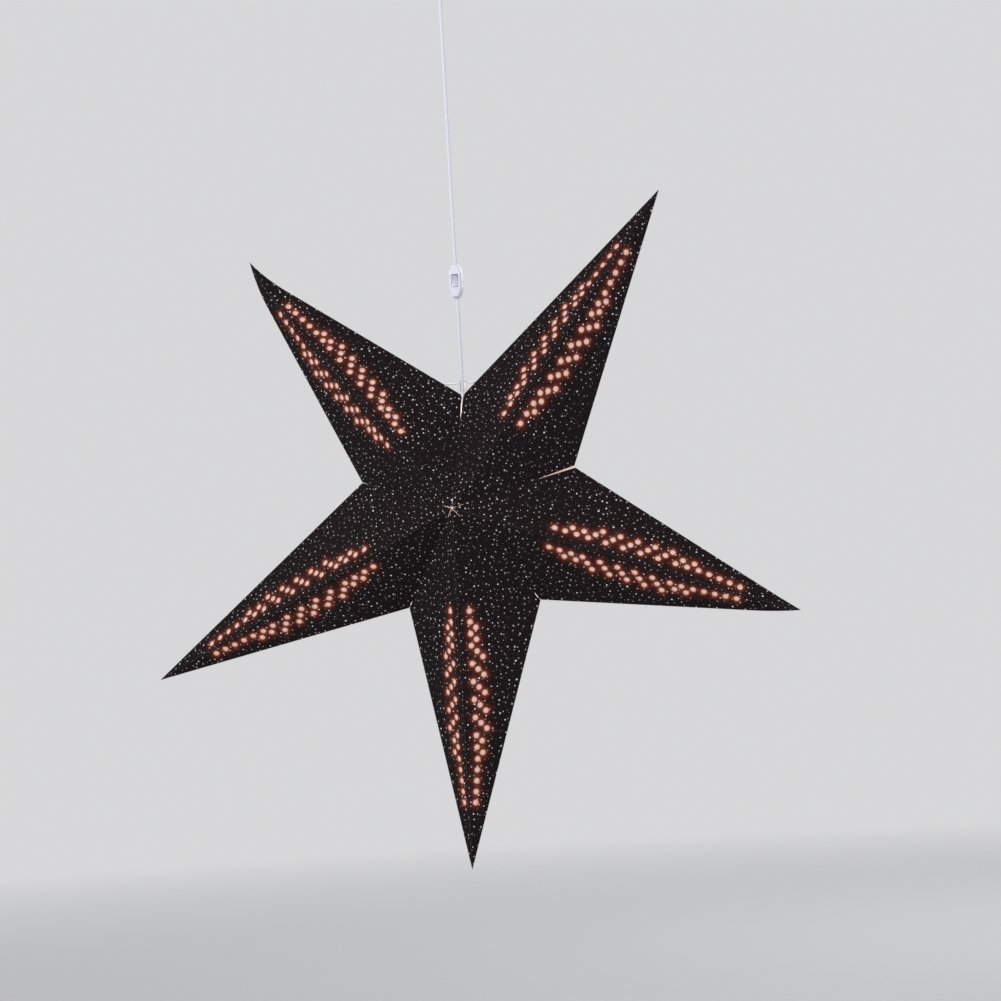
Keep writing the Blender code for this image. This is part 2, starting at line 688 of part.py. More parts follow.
def holder_insides(model):
    """The cord grip, the insert with its terminals, the threaded socket and the middle contact."""
    top = HOLDER_TOP + FIT
    bore = CORD_RADIUS + FIT
    grip = [
        (bore, top + GRIP_FLANGE_HEIGHT),
        (GRIP_RADIUS, top + GRIP_FLANGE_HEIGHT),
        (GRIP_FLANGE, top),
        (GRIP_RADIUS, top),
        (GRIP_RADIUS, top + GRIP_FLANGE_HEIGHT - GRIP_HEIGHT),
        (bore, top + GRIP_FLANGE_HEIGHT - GRIP_HEIGHT),
    ]
    turned_piece(model, "holder_cord_grip", grip, "white_plastic", STAR_CENTRE, "star_turn", SMALL_STEPS)

    radius = HOLDER_RADIUS - HOLDER_WALL - FIT
    insert = [(0, INSERT_TOP), (radius, INSERT_TOP), (radius, INSERT_FOOT), (0, INSERT_FOOT)]
    block = turned_piece(
        model, "holder_insert", insert, "ceramic", STAR_CENTRE, "star_turn", INNER_STEPS, closed=False)
    for hand, side in (("left", -1), ("right", 1)):
        place = STAR_CENTRE + Vector((side * TERMINAL_PITCH / 2, 0, INSERT_TOP))
        hole = rod_mesh(
            "terminal_hole_" + hand, TERMINAL_SHANK + FIT, TERMINAL_DEPTH + FIT + OVERRUN,
            place - Vector((0, 0, (TERMINAL_DEPTH + FIT - OVERRUN) / 2)))
        cut(block, model.cutter("terminal_hole_" + hand, hole))
        screw = [
            (0, TERMINAL_HEAD + FIT),
            (TERMINAL_RADIUS, TERMINAL_HEAD + FIT),
            (TERMINAL_RADIUS, FIT),
            (TERMINAL_SHANK, FIT),
            (TERMINAL_SHANK, -TERMINAL_DEPTH),
            (0, -TERMINAL_DEPTH),
        ]
        turned_piece(
            model, "terminal_screw_" + hand, screw, "brass", place, "star_turn", SMALL_STEPS, closed=False)

    inner = SOCKET_RADIUS
    outer = SOCKET_RADIUS + SOCKET_WALL
    foot = SOCKET_TOP - SOCKET_HEIGHT
    socket = [
        (SOCKET_FLANGE, SOCKET_TOP),
        (SOCKET_FLANGE, SOCKET_TOP - SOCKET_FLANGE_HEIGHT),
        (outer, SOCKET_TOP - SOCKET_FLANGE_HEIGHT),
        (outer, foot),
        (inner, foot),
        (inner, SOCKET_TOP),
    ]
    turned_piece(model, "threaded_socket", socket, "brass", STAR_CENTRE, "star_turn", INNER_STEPS)
    contact = [
        (0, SOCKET_TOP), (CONTACT_RADIUS, SOCKET_TOP), (CONTACT_RADIUS, CONTACT_FOOT), (0, CONTACT_FOOT)]
    turned_piece(
        model, "middle_contact", contact, "brass", STAR_CENTRE, "star_turn", SMALL_STEPS, closed=False)


def bulb(model):
    """A candle bulb with its threaded cap; only its tip contact rides the slide, the rest also turns."""
    tip = [
        (0, BULB_TOP),
        (BULB_TIP_RADIUS, BULB_TOP - BULB_TIP_HEIGHT / 3),
        (BULB_TIP_RADIUS, BULB_TOP - BULB_TIP_HEIGHT + FIT),
        (0, BULB_TOP - BULB_TIP_HEIGHT + FIT),
    ]
    turned_piece(model, "bulb_tip", tip, "brass", STAR_CENTRE, "bulb_travel", SMALL_STEPS, closed=False)

    shoulder = BULB_TOP - BULB_TIP_HEIGHT
    inner = BULB_CAP_RADIUS - BULB_CAP_WALL
    plug = inner - THREAD_DEPTH - FIT
    insulator = [
        (0, shoulder),
        (INSULATOR_NECK, shoulder),
        (inner, BULB_CAP_TOP + FIT),
        (inner, BULB_CAP_TOP),
        (plug, BULB_CAP_TOP),
        (plug, BULB_CAP_TOP - INSULATOR_HEIGHT / 2),
        (0, BULB_CAP_TOP - INSULATOR_HEIGHT / 2),
    ]
    turned_piece(
        model, "bulb_insulator", insulator, "black_glass", STAR_CENTRE, "bulb_turn", SMALL_STEPS,
        closed=False)

    cap = [(BULB_CAP_RADIUS - THREAD_DEPTH, BULB_CAP_TOP - FIT)]
    for turn_index in range(THREAD_TURNS):
        crest = BULB_CAP_TOP - THREAD_PITCH * (turn_index + 1 / 2)
        cap.append((BULB_CAP_RADIUS, crest))
        cap.append((BULB_CAP_RADIUS - THREAD_DEPTH, crest - THREAD_PITCH / 2))
    cap += [
        (BULB_CAP_RADIUS, BULB_CAP_FOOT),
        (inner, BULB_CAP_FOOT),
        (inner - THREAD_DEPTH, BULB_CAP_FOOT + THREAD_PITCH),
        (inner - THREAD_DEPTH, BULB_CAP_TOP - FIT),
    ]
    turned_piece(model, "bulb_cap", cap, "brass", STAR_CENTRE, "bulb_turn", INNER_STEPS)

    outer = [(GLASS_RADIUS * r, BULB_CAP_FOOT - FIT - GLASS_LENGTH * h)
             for h, r in zip(GLASS_HEIGHT_SHARES, GLASS_RADIUS_SHARES)]
    inside = [(max(r - GLASS_WALL, GLASS_WALL), h) for r, h in outer]
    neck = inner - THREAD_DEPTH - FIT
    lowest = outer[-1][1] - GLASS_LENGTH * (1 - GLASS_HEIGHT_SHARES[-1])
    glass = [(0, lowest + GLASS_WALL * 2)] + list(reversed(inside[1:]))
    glass += [(neck - GLASS_WALL, outer[0][1]), (neck - GLASS_WALL, GLASS_TOP), (neck, GLASS_TOP)]
    glass += [(neck, outer[0][1])] + outer + [(0, lowest)]
    turned_piece(
        model, "bulb_glass", glass, "clear_glass", STAR_CENTRE, "bulb_turn", INNER_STEPS, closed=False)

    flare_top = GLASS_TOP - FIT
    stem = [
        (0, flare_top),
        (STEM_FLARE, flare_top),
        (STEM_FLARE, flare_top - STEM_FLARE_HEIGHT),
        (STEM_RADIUS, flare_top - STEM_FLARE_HEIGHT * 2),
        (STEM_RADIUS, flare_top - STEM_LENGTH),
        (0, flare_top - STEM_LENGTH),
    ]
    turned_piece(
        model, "bulb_stem", stem, "clear_glass", STAR_CENTRE, "bulb_turn", SMALL_STEPS, closed=False)

    hang = flare_top - STEM_LENGTH - FIT - FILAMENT_RADIUS
    route = []
    for leg in range(FILAMENT_LEGS + 1):
        across = FILAMENT_SPAN * (leg / FILAMENT_LEGS - 1 / 2)
        route.append(Vector((across, 0, hang - FILAMENT_DROP * (leg % 2))))
    filament = curve_mesh(tube("bulb_filament", route, FILAMENT_RADIUS))
    model.add("bulb_filament", filament, "filament", STAR_CENTRE, "bulb_turn")


def tube(name, route, radius):
    """A round bar or cord along a route, as a curve with a round bevel."""
    curve = bpy.data.curves.new(name, "CURVE")
    curve.dimensions = "3D"
    curve.bevel_depth = radius
    curve.bevel_resolution = CORD_BEVEL_RESOLUTION
    curve.use_fill_caps = True
    spline = curve.splines.new("POLY")
    spline.points.add(len(route) - 1)
    for point, place in zip(spline.points, route):
        point.co = (*place, 1)
    return curve


def taut_route(length):
    steps = max(1, round(length / CORD_POINT_STEP))
    return [Vector((0, 0, -length * i / steps)) for i in range(steps + 1)]


def cord(model, name, top, foot, axis, route=None):
    """A taut stretch of cord between two depths below the ceiling, or one along its own route."""
    route = route or taut_route(foot - top)
    model.add(name, tube(name, route, CORD_RADIUS), "white_cord", Vector((0, 0, -top)), axis)


def cords(model):
    switch_top = -SWITCH_CENTRE.z - SWITCH_LENGTH / 2
    switch_foot = -SWITCH_CENTRE.z + SWITCH_LENGTH / 2
    clip_top = TOP_VALLEY - CLIP_TOP
    holder_top = CEILING_TO_STAR - HOLDER_TOP - GRIP_FLANGE_HEIGHT
    cord(model, "feed_cord", 0, BUSH_EXIT, "ceiling", feed_route())
    cord(model, "top_cord", BUSH_EXIT + SWING_GAP, BUSH_EXIT + SWING_GAP + TOP_CORD, "swing_side")
    cord(model, "upper_cord", SECOND_HINGE, switch_top + CORD_SEAT, "swing_fore_aft")
    cord(model, "lower_cord", switch_foot - CORD_SEAT, clip_top, "swing_fore_aft")
    cord(model, "inner_cord", clip_top + FIT, holder_top + CORD_SEAT, "star_turn")


def feed_route():
    """From the terminal block, round into the tube and down to the bush's mouth."""
    level = BRACKET_THICKNESS + FIT + BLOCK_SIZE.z / 2
    route = [Vector((0, -FEED_BEND - FEED_TAIL, -level))]
    for i in range(FEED_BEND_STEPS + 1):
        angle = pi / 2 * i / FEED_BEND_STEPS
        route.append(Vector((0, FEED_BEND * (sin(angle) - 1), FEED_BEND * (cos(angle) - 1) - level)))
    start = route[-1].z
    steps = round((BUSH_EXIT + start) / CORD_POINT_STEP)
    return route + [Vector((0, 0, start - (BUSH_EXIT + start) * (i + 1) / steps)) for i in range(steps)]


def round_rim(mesh, side):
    """Rounds the edges of a housing's outer face and leaves the parting face sharp."""
    shape = bmesh.new()
    shape.from_mesh(mesh)
    rim = [edge for edge in shape.edges
           if all(vert.co.y * side > SWITCH_DEPTH / 4 for vert in edge.verts)
           and edge.calc_face_angle() > pi / 4]
    bmesh.ops.bevel(
        shape, geom=rim, offset=SWITCH_ROUND, segments=SWITCH_ROUND_STEPS, profile=0.5, affect="EDGES",
        material=-1)
    shape.to_mesh(mesh)
    shape.free()


def switch_outline(margin=0.0):
    """The upright body, whose shoulders run in to a neck at each end, drawn in by a margin."""
    neck = SWITCH_NECK / 2 - margin
    widening = (SWITCH_WIDTH - SWITCH_NECK) / 2
    shoulder = []
    for i in range(SWITCH_SHOULDER_STEPS + 1):
        share = i / SWITCH_SHOULDER_STEPS
        height = SWITCH_LENGTH / 2 - margin - SWITCH_SHOULDER * share
        shoulder.append((neck + widening * sin(share * pi / 2), height))
    right = shoulder + [(x, -z) for x, z in reversed(shoulder)]
    return right + [(-x, -z) for x, z in right]


def switch_shell(model, name, side):
    """One half of the switch housing: a shallow tray."""
    depth = SWITCH_DEPTH / 2 - FIT / 2
    shell = plate_mesh(name, switch_outline(), depth)
    shell.transform(Matrix.Rotation(pi / 2, 4, "X"))
    offset = Vector((0, side * (depth + FIT) / 2, 0))
    shell.transform(Matrix.Translation(offset))
    round_rim(shell, side)
    piece = model.add(name, shell, "white_plastic", SWITCH_CENTRE, "swing_fore_aft")
    pocket = plate_mesh(name + "_pocket", switch_outline(SWITCH_WALL), depth)
    pocket.transform(Matrix.Rotation(pi / 2, 4, "X"))
    pocket.transform(Matrix.Translation(offset - Vector((0, side * SWITCH_WALL, 0))))
    cut(piece, model.cutter(name + "_pocket", pocket, SWITCH_CENTRE))
    entry = rod_mesh(name + "_entry", CORD_RADIUS + FIT, SWITCH_LENGTH + OVERRUN, Vector())
    cut(piece, model.cutter(name + "_entry", entry, SWITCH_CENTRE))
    return piece


def inline_switch(model):
    base = switch_shell(model, "switch_base", BACK)
    cover = switch_shell(model, "switch_cover", FRONT)
    window = box_mesh("switch_window", Vector((
        ROCKER_WIDTH + 2 * FIT, SWITCH_DEPTH, ROCKER_LENGTH + 4 * FIT)), Vector((0, -SWITCH_DEPTH / 2, 0)))
    cut(cover, model.cutter("switch_window", window, SWITCH_CENTRE))
    shank_length = SWITCH_DEPTH - SWITCH_WALL - SWITCH_SCREW_HEAD_DEPTH - FIT
    for name, side in (("upper", 1), ("lower", -1)):
        place = SWITCH_CENTRE + Vector((0, 0, side * SWITCH_SCREW_PLACE))
        switch_screw(model, base, cover, name, place, shank_length)
        strip = box_mesh(
            "switch_contact_" + name, Vector((STRIP_WIDTH, STRIP_THICKNESS, STRIP_LENGTH)))
        floor = SWITCH_DEPTH / 2 - SWITCH_WALL - FIT - STRIP_THICKNESS / 2
        model.add(
            "switch_contact_" + name, strip, "brass",
            SWITCH_CENTRE + Vector((0, floor, side * STRIP_PLACE)), "swing_fore_aft")
    rocker(model, cover)


def switch_screw(model, base, cover, name, place, shank_length):
    """A screw from the back of the base into a boss of the cover."""
    back = SWITCH_DEPTH / 2
    boss_length = SWITCH_DEPTH / 2 - SWITCH_WALL / 2 - FIT
    boss = rod_mesh(
        "switch_boss_" + name, SWITCH_BOSS, boss_length, Vector((0, -boss_length / 2 - FIT, 0)), along="Y")
    fuse(cover, model.cutter("switch_boss_" + name, boss, place))
    post = rod_mesh(
        "switch_post_" + name, SWITCH_BOSS, boss_length, Vector((0, boss_length / 2 + FIT, 0)), along="Y")
    fuse(base, model.cutter("switch_post_" + name, post, place))
    pilot = rod_mesh(
        "switch_pilot_" + name, SWITCH_SCREW_SHANK + FIT, shank_length + FIT,
        Vector((0, back - SWITCH_SCREW_HEAD_DEPTH - shank_length / 2 - FIT / 2, 0)), along="Y")
    tool = model.cutter("switch_pilot_" + name, pilot, place)
    cut(base, tool)
    cut(cover, tool)
    sink = rod_mesh(
        "switch_sink_" + name, SWITCH_SCREW_HEAD + FIT, SWITCH_SCREW_HEAD_DEPTH + FIT + OVERRUN,
        Vector((0, back - (SWITCH_SCREW_HEAD_DEPTH + FIT - OVERRUN) / 2, 0)), along="Y")
    cut(base, model.cutter("switch_sink_" + name, sink, place))
    screw = [
        (0, 0),
        (SWITCH_SCREW_HEAD, 0),
        (SWITCH_SCREW_HEAD, -SWITCH_SCREW_HEAD_DEPTH),
        (SWITCH_SCREW_SHANK, -SWITCH_SCREW_HEAD_DEPTH),
        (SWITCH_SCREW_SHANK, FIT - SWITCH_SCREW_HEAD_DEPTH - shank_length),
        (0, FIT - SWITCH_SCREW_HEAD_DEPTH - shank_length),
    ]
    piece = turned_piece(
        model, "switch_screw_" + name, screw, "steel", place + Vector((0, back, 0)), "swing_fore_aft",
        SMALL_STEPS, closed=False)
    piece.rotation_euler = (-pi / 2, 0, 0)


def rocker(model, cover):
    """The rocker, dished on its face, on a pin that two ears of the cover carry."""
    pivot = rocker_pivot()
    face = -ROCKER_HEIGHT / 2
    half = ROCKER_LENGTH / 2
    side_view = [
        (-half, face),
        (0, face + ROCKER_DISH),
        (half, face),
        (half - ROCKER_DISH, ROCKER_HEIGHT / 2),
        (ROCKER_DISH - half, ROCKER_HEIGHT / 2),
    ]
    body = plate_mesh("switch_rocker", side_view, ROCKER_WIDTH)
    body.transform(Matrix(((0, 0, 1, 0), (0, 1, 0, 0), (1, 0, 0, 0), (0, 0, 0, 1))))
    body.flip_normals()
    body.transform(Matrix.Rotation(radians(ROCKER_TILT_DEG), 4, "X"))
    piece = model.add("switch_rocker", body, "white_plastic", pivot, "rocker_turn")
    for hand, side in (("left", -1), ("right", 1)):
        ear_place = side * (ROCKER_WIDTH / 2 + FIT * 3 / 2 + EAR.x / 2)
        ear = box_mesh("rocker_ear_" + hand, EAR, Vector((ear_place, 0, 0)))
        fuse(cover, model.cutter("rocker_ear_" + hand, ear, pivot))
    reach = ROCKER_WIDTH + 2 * (FIT + EAR.x)
    bearing = rod_mesh("rocker_bearing", ROCKER_PIN_RADIUS + FIT, reach + 2 * FIT, Vector(), along="X")
    cut(cover, model.cutter("rocker_bearing", bearing, pivot))
    pin = rod_mesh("rocker_pin", ROCKER_PIN_RADIUS, reach, Vector(), along="X")
    fuse(piece, model.cutter("rocker_pin", pin, pivot))


def rocker_pivot():
    front = -SWITCH_DEPTH / 2
    return SWITCH_CENTRE + Vector((0, front - ROCKER_PROUD + ROCKER_HEIGHT / 2, 0))


def ceiling_bracket(model):
    """The plate that is screwed to the ceiling, with a blind tube that the cord leaves by."""
    outline = [
        (0, 0),
        (BRACKET_RADIUS, 0),
        (BRACKET_RADIUS, -BRACKET_THICKNESS),
        (TUBE_RADIUS, -BRACKET_THICKNESS),
        (TUBE_RADIUS, -TUBE_LENGTH),
        (TUBE_BORE, -TUBE_LENGTH),
        (TUBE_BORE, -BRACKET_THICKNESS * 2),
        (0, -BRACKET_THICKNESS * 2),
    ]
    plate = turned_piece(
        model, "ceiling_bracket", outline, "zinc_plate", Vector(), "ceiling", BRACKET_STEPS, closed=False)
    window = box_mesh("tube_window", TUBE_WINDOW, Vector((0, -TUBE_RADIUS, -TUBE_WINDOW_DROP)))
    cut(plate, model.cutter("tube_window", window))
    for hand, side in (("left", -1), ("right", 1)):
        oblong = stadium(SLOT_LENGTH, SLOT_WIDTH, SLOT_END_STEPS)
        slot = plate_mesh("bracket_slot_" + hand, oblong, BRACKET_THICKNESS * 2)
        place = Vector((side * SLOT_PLACE, 0, -BRACKET_THICKNESS / 2))
        cut(plate, model.cutter("bracket_slot_" + hand, slot, place))
        screw = [
            (0, -FIT),
            (SCREW_SHANK, -FIT),
            (SCREW_SHANK, -BRACKET_THICKNESS - FIT),
            (SCREW_HEAD, -BRACKET_THICKNESS - FIT),
            (SCREW_HEAD * 3 / 4, -BRACKET_THICKNESS - FIT - SCREW_HEAD_HEIGHT),
            (0, -BRACKET_THICKNESS - FIT - SCREW_HEAD_HEIGHT),
        ]
        turned_piece(
            model, "ceiling_screw_" + hand, screw, "steel", Vector((side * SLOT_PLACE, 0, 0)), "ceiling",
            SMALL_STEPS, closed=False)


def ceiling_cup(model):
    hole = TUBE_RADIUS + FIT
    centre = CUP_RADIUS - CUP_ROUND
    outline = [(CUP_RADIUS, -FIT)]
    outline += arc(centre, CUP_ROUND - CUP_HEIGHT, CUP_ROUND, 0, -90, CUP_ROUND_STEPS)
    outline += [(hole, -CUP_HEIGHT), (hole, CUP_WALL - CUP_HEIGHT)]
    outline += arc(centre, CUP_ROUND - CUP_HEIGHT, CUP_ROUND - CUP_WALL, -90, 0, CUP_ROUND_STEPS)
    outline += [(CUP_RADIUS - CUP_WALL, -FIT)]
    turned_piece(model, "ceiling_cup", outline, "white_plastic", Vector(), "ceiling")


def cup_nut(model):
    """The fluted nut under the cup."""
    bore = TUBE_RADIUS + FIT
    top = -CUP_HEIGHT - FIT
    outline = [
        (bore, top),
        (NUT_RADIUS, top),
        (NUT_RADIUS, top - NUT_HEIGHT * 3 / 4),
        (NUT_RADIUS - NUT_FLUTE_RADIUS, top - NUT_HEIGHT),
        (bore, top - NUT_HEIGHT),
    ]
    nut = turned_piece(model, "cup_nut", outline, "white_plastic", Vector(), "ceiling", NUT_FLUTES * 2)
    for index in range(NUT_FLUTES):
        turn_angle = 2 * pi * (index + 1 / 2) / NUT_FLUTES
        place = Vector((NUT_RADIUS * cos(turn_angle), NUT_RADIUS * sin(turn_angle), top - NUT_HEIGHT / 2))
        name = "nut_flute_%d" % index
        flute = rod_mesh(name, NUT_FLUTE_RADIUS, NUT_HEIGHT + OVERRUN, place, steps=FLUTE_STEPS)
        cut(nut, model.cutter(name, flute))


def cord_bush(model):
    """The bush that grips the cord in the tube's mouth."""
    bore = CORD_RADIUS + FIT
    body = TUBE_BORE - FIT
    lip = -TUBE_LENGTH - FIT
    outline = [
        (body, BUSH_LENGTH - TUBE_LENGTH),
        (body, lip),
        (BUSH_LIP, lip),
        (BUSH_LIP, -BUSH_EXIT + FIT),
        (BUSH_LIP - FIT, -BUSH_EXIT),
        (bore, -BUSH_EXIT),
        (bore, BUSH_LENGTH - TUBE_LENGTH),
    ]
    turned_piece(model, "cord_bush", outline, "white_plastic", Vector(), "ceiling", SMALL_STEPS)


def terminal_block(model):
    """The wire connector, screwed up under the bracket beside the tube."""
    place = Vector((0, -BLOCK_PLACE, -BRACKET_THICKNESS - FIT - BLOCK_SIZE.z / 2))
    body = box_mesh("terminal_block", BLOCK_SIZE)
    block = model.add("terminal_block", body, "white_plastic", place, "ceiling")
    for hand, side in (("left", -1), ("right", 1)):
        bore = rod_mesh(
            "block_bore_" + hand, BLOCK_BORE, BLOCK_SIZE.y + OVERRUN, Vector((side * BLOCK_PITCH / 2, 0, 0)),
            along="Y")
        cut(block, model.cutter("block_bore_" + hand, bore, place))


def set_finishes(model):
    model.finishes = {
        "black_paper": finish("black_paper", (0.012, 0.012, 0.014), 0.85),
        "lining_paper": finish("lining_paper", (0.95, 0.55, 0.42), 0.8, alpha=0.9),
        "white_metal": finish("white_metal", (0.82, 0.82, 0.84), 0.35),
        "clear_plastic": finish("clear_plastic", (0.86, 0.85, 0.78), 0.3, alpha=0.7),
        "white_plastic": finish("white_plastic", (0.86, 0.86, 0.86), 0.4),
        "white_cord": finish("white_cord", (0.83, 0.83, 0.85), 0.5),
        "ceramic": finish("ceramic", (0.85, 0.83, 0.78), 0.45),
        "brass": finish("brass", (0.78, 0.58, 0.25), 0.3, 1.0),
        "steel": finish("steel", (0.62, 0.62, 0.62), 0.35, 1.0),
        "zinc_plate": finish("zinc_plate", (0.6, 0.61, 0.63), 0.4, 1.0),
        "black_glass": finish("black_glass", (0.02, 0.02, 0.02), 0.2),
        "clear_glass": finish("clear_glass", (0.95, 0.95, 0.95), 0.05, alpha=0.35),
        "filament": finish("filament", (1.0, 0.72, 0.35), 0.4),
    }


def set_axes(model):
    """The ceiling and the axes that the moving pieces turn or slide on."""
    model.axis("ceiling", Vector())
    model.axis("swing_side", Vector((0, 0, -BUSH_EXIT - SWING_GAP)), "ceiling")
    model.axis("swing_fore_aft", Vector((0, 0, -SECOND_HINGE)), "swing_side")
    model.axis("rocker_turn", rocker_pivot(), "swing_fore_aft")
    model.axis("star_turn", STAR_CENTRE, "swing_fore_aft")
    model.axis("bulb_travel", STAR_CENTRE, "star_turn")
    model.axis("bulb_turn", STAR_CENTRE, "bulb_travel")


def build():
    model = Model()
    set_finishes(model)
    set_axes(model)
    ceiling_bracket(model)
    ceiling_cup(model)
    cup_nut(model)
    cord_bush(model)
    terminal_block(model)
    cords(model)
    inline_switch(model)
    hanger(model)
    paper_star(model)
    holder_cap(model)
    holder_skirt(model)
    holder_insides(model)
    bulb(model)


build()
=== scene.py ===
"""Looks of the hanging paper star lantern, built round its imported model.

Metres, +Z up. The front of the star faces -Y, and the origin is the middle of the face that meets the
ceiling. Lengths that go through mm, at or path are in millimetres.
"""
from math import cos, pi, radians, sin

import bmesh
import bpy
from bmesh import ops
from mathutils import Matrix, Vector
from mathutils.geometry import delaunay_2d_cdt
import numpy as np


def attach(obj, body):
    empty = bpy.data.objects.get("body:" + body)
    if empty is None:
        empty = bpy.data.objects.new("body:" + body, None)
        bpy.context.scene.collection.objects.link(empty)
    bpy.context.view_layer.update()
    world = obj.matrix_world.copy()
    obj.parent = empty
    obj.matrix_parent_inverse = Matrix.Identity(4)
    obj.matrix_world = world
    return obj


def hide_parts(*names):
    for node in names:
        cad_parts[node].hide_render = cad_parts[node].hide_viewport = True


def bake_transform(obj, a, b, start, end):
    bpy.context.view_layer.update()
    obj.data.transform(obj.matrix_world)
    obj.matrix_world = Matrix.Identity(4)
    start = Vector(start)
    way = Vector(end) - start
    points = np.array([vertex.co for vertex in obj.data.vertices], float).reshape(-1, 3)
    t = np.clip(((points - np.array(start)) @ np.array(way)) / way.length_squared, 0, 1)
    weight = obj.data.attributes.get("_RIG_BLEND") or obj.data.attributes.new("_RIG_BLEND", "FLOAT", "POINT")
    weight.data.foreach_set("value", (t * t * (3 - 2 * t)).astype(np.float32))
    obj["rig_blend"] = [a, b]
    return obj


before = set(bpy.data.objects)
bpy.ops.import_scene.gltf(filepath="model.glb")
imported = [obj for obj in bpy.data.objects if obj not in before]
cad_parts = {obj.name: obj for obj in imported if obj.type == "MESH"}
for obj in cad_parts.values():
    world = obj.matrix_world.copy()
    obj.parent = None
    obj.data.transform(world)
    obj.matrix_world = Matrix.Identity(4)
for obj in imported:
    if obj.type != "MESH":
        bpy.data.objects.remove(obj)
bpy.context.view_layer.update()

# Directions and the small distances that many pieces share
FIT_MM = 0.3
FIT = FIT_MM / 1000
MERGE = 0.00001
INSIDE_ONLY = 1             # the triangulation's output that stops at the outer edge
FRONT, BACK = -1, 1
PANELS = ((FRONT, 0), (FRONT, 1), (BACK, 0), (BACK, 1))
HANDS = (("left", -1), ("right", 1))
CUT, JOIN = "DIFFERENCE", "UNION"
X, Y, Z = Vector((1, 0, 0)), Vector((0, 1, 0)), Vector((0, 0, 1))

# Camera, lamps and floor
LENS_MM = 97.1
LENS_SHIFT = (0.0312, 0.0099)
CAMERA_DEG = (15, -3, -3.3)     # its turn round the star, its rise and its roll
CAMERA_DISTANCE = 2.9
LAMPS = (                       # name, place, size and watts
    ("key", (-1.9, -2.4, 0.7), 1.6, 62),
    ("fill", (2.4, -1.7, -0.2), 1.8, 26),
    ("behind", (0.8, 2.6, 0.6), 1.6, 22))
SKY_COLOUR = (0.9, 0.92, 0.95, 1)
SKY_STRENGTH = 0.42
BACKDROP_COLOUR = (0.68, 0.68, 0.69, 1)
FLOOR_HEIGHT = -1.32
FLOOR_RADIUS = 9
FADE_FROM = 1.4
FADE_OVER = 3.2

# Star, measured from its centre
STAR = Vector((0, 0, -0.63))
TIP_RADIUS = 0.375
VALLEY_RADIUS = 0.124
HALF_DEPTH = 0.07
POINTS = ("upper_left", "upper_right", "right", "bottom", "lower_left")
FIRST_POINT_DEG = 126
STEP_DEG = 72
POINT_LEAN_DEG = (3.9, 1.0, -2.4, -2.9, 6.1)
POINT_REACH_SHARES = (0.994, 1.059, 1.005, 1.025, 1.064)
TAIL_SHARE = 0.14           # the worn end of a point, as a share of its length
TAIL_BENDS = ((-0.0068, 0), (0, 0), (0.002, -0.0043), (0, 0), (0, 0))   # anticlockwise and outwards
SEAMS = (                   # how wide and how far each seam is open, beginning with the top one
    (0.0022, 0.028), (0.0027, 0.038), (0.0008, 0.008), (0.0008, 0.008), (0.0008, 0.008))
RIDGE_SLITS = (0.0065, 0.0125, 0.005, 0.0105, 0.0065)   # each ridge is open for so far from the centre
RIDGE_SLIT_WIDTH = 0.001
SEAM_SLIT = 0.012
SPRUNG_BEFORE = 2           # the point whose bare edge shows in the seam that has come apart
BARE_EDGE_WIDTH = 0.0046
FLAP_WIDTH = 0.01
FLAP_SLANT = 1.6            # the slanting end of a flap, in widths
FLAP_SERIAL = 20            # flaps have flecks of their own
PAPER = 0.0006

# Punched bands
HOLE_RADIUS = 0.0032
# the painted red glow round each hole: its ring, its reach and the corners it fades on
HALO_RADIUS = 0.0041
GLOW_REACH = 0.009
GLOW_STEP = 0.0042
EDGE_STEP = 0.0076
HALO_MARGIN = 0.0009
HOLE_SIDES = 16
FIRST_ROW_SHARE = 0.284
BAND_OFFSET = 0.0131
BAND_TAPER_SHARE = 0.336
HOLE_STEP = Vector((0.0065, 0.0061))
ROW_COUNTS = (1, 2, 2, 3, 3, 3, 3, 3, 2, 2, 1, 1, 1, 1, 1)
ROW_PITCH_SHARES = {1: 0.0301, 2: 0.0327, 3: 0.0497}

# Lining
LINING = 0.0003
LINING_RIDGE_SHARES = (0.215, 0.88)
LINING_EDGE_SHARES = (0.11, 0.84)

# Print of the paper, its wear, and the painted sheen on its folds
FLECKS = (0.007, 0.001, 0.86)     # cell, radius and scatter
DUST = (0.0058, 0.0005, 1.0)
DOT_BLUR = 0.00012
# how far from a fold the wear and the painted sheen reach
WEAR_AND_SHEEN_WIDTH = 0.00055
CUT_EDGE_WIDTH = 0.0004

# Cord, and what is on it from the ceiling down
CORD_WIDTH = 0.004
CORD_DEPTH = 0.0028
CORD_BORE = CORD_WIDTH / 2 + 0.0001
CORD_SIDES = 20
ROUTE_STEP = 0.003
FEED_TOP = 0.016
CORD_JOIN = 0.063
SWITCH_TOP = 0.367
SWITCH_FOOT = 0.397
CLIP_TOP = 0.489
HOLDER_SEAT = 0.552
SWITCH = Vector((0, 0, -0.382))
ROD_CENTRE = Vector((0, 0.0034, -0.492))
BLOCK = Vector((0, -0.0165, -0.0083))
CORE_MM = 4.5               # from the block's middle to each of its bores
CASE_SCREW_MM = 11.8        # from the switch's middle to each of its screws
BRACKET_SLOT = 0.017
THREAD_PITCH_MM = 2.82


def heading(degrees):
    return Vector((cos(radians(degrees)), 0, sin(radians(degrees))))


def mm(*lengths):
    """Lengths in millimetres, as metres."""
    return tuple(length / 1000 for length in lengths)


def at(x, y, z):
    """A place in millimetres, as a vector in metres."""
    return Vector(mm(x, y, z))


def path(*corners):
    """Flat corners in millimetres, as metres."""
    return [mm(*corner) for corner in corners]


def axes(first, second, third):
    """The turn that takes X, Y and Z to three directions."""
    return Matrix((first, second, third)).transposed().to_4x4()


def add(name, data):
    thing = bpy.data.objects.new(name, data)
    bpy.context.scene.collection.objects.link(thing)
    return thing


# Camera, light and floor

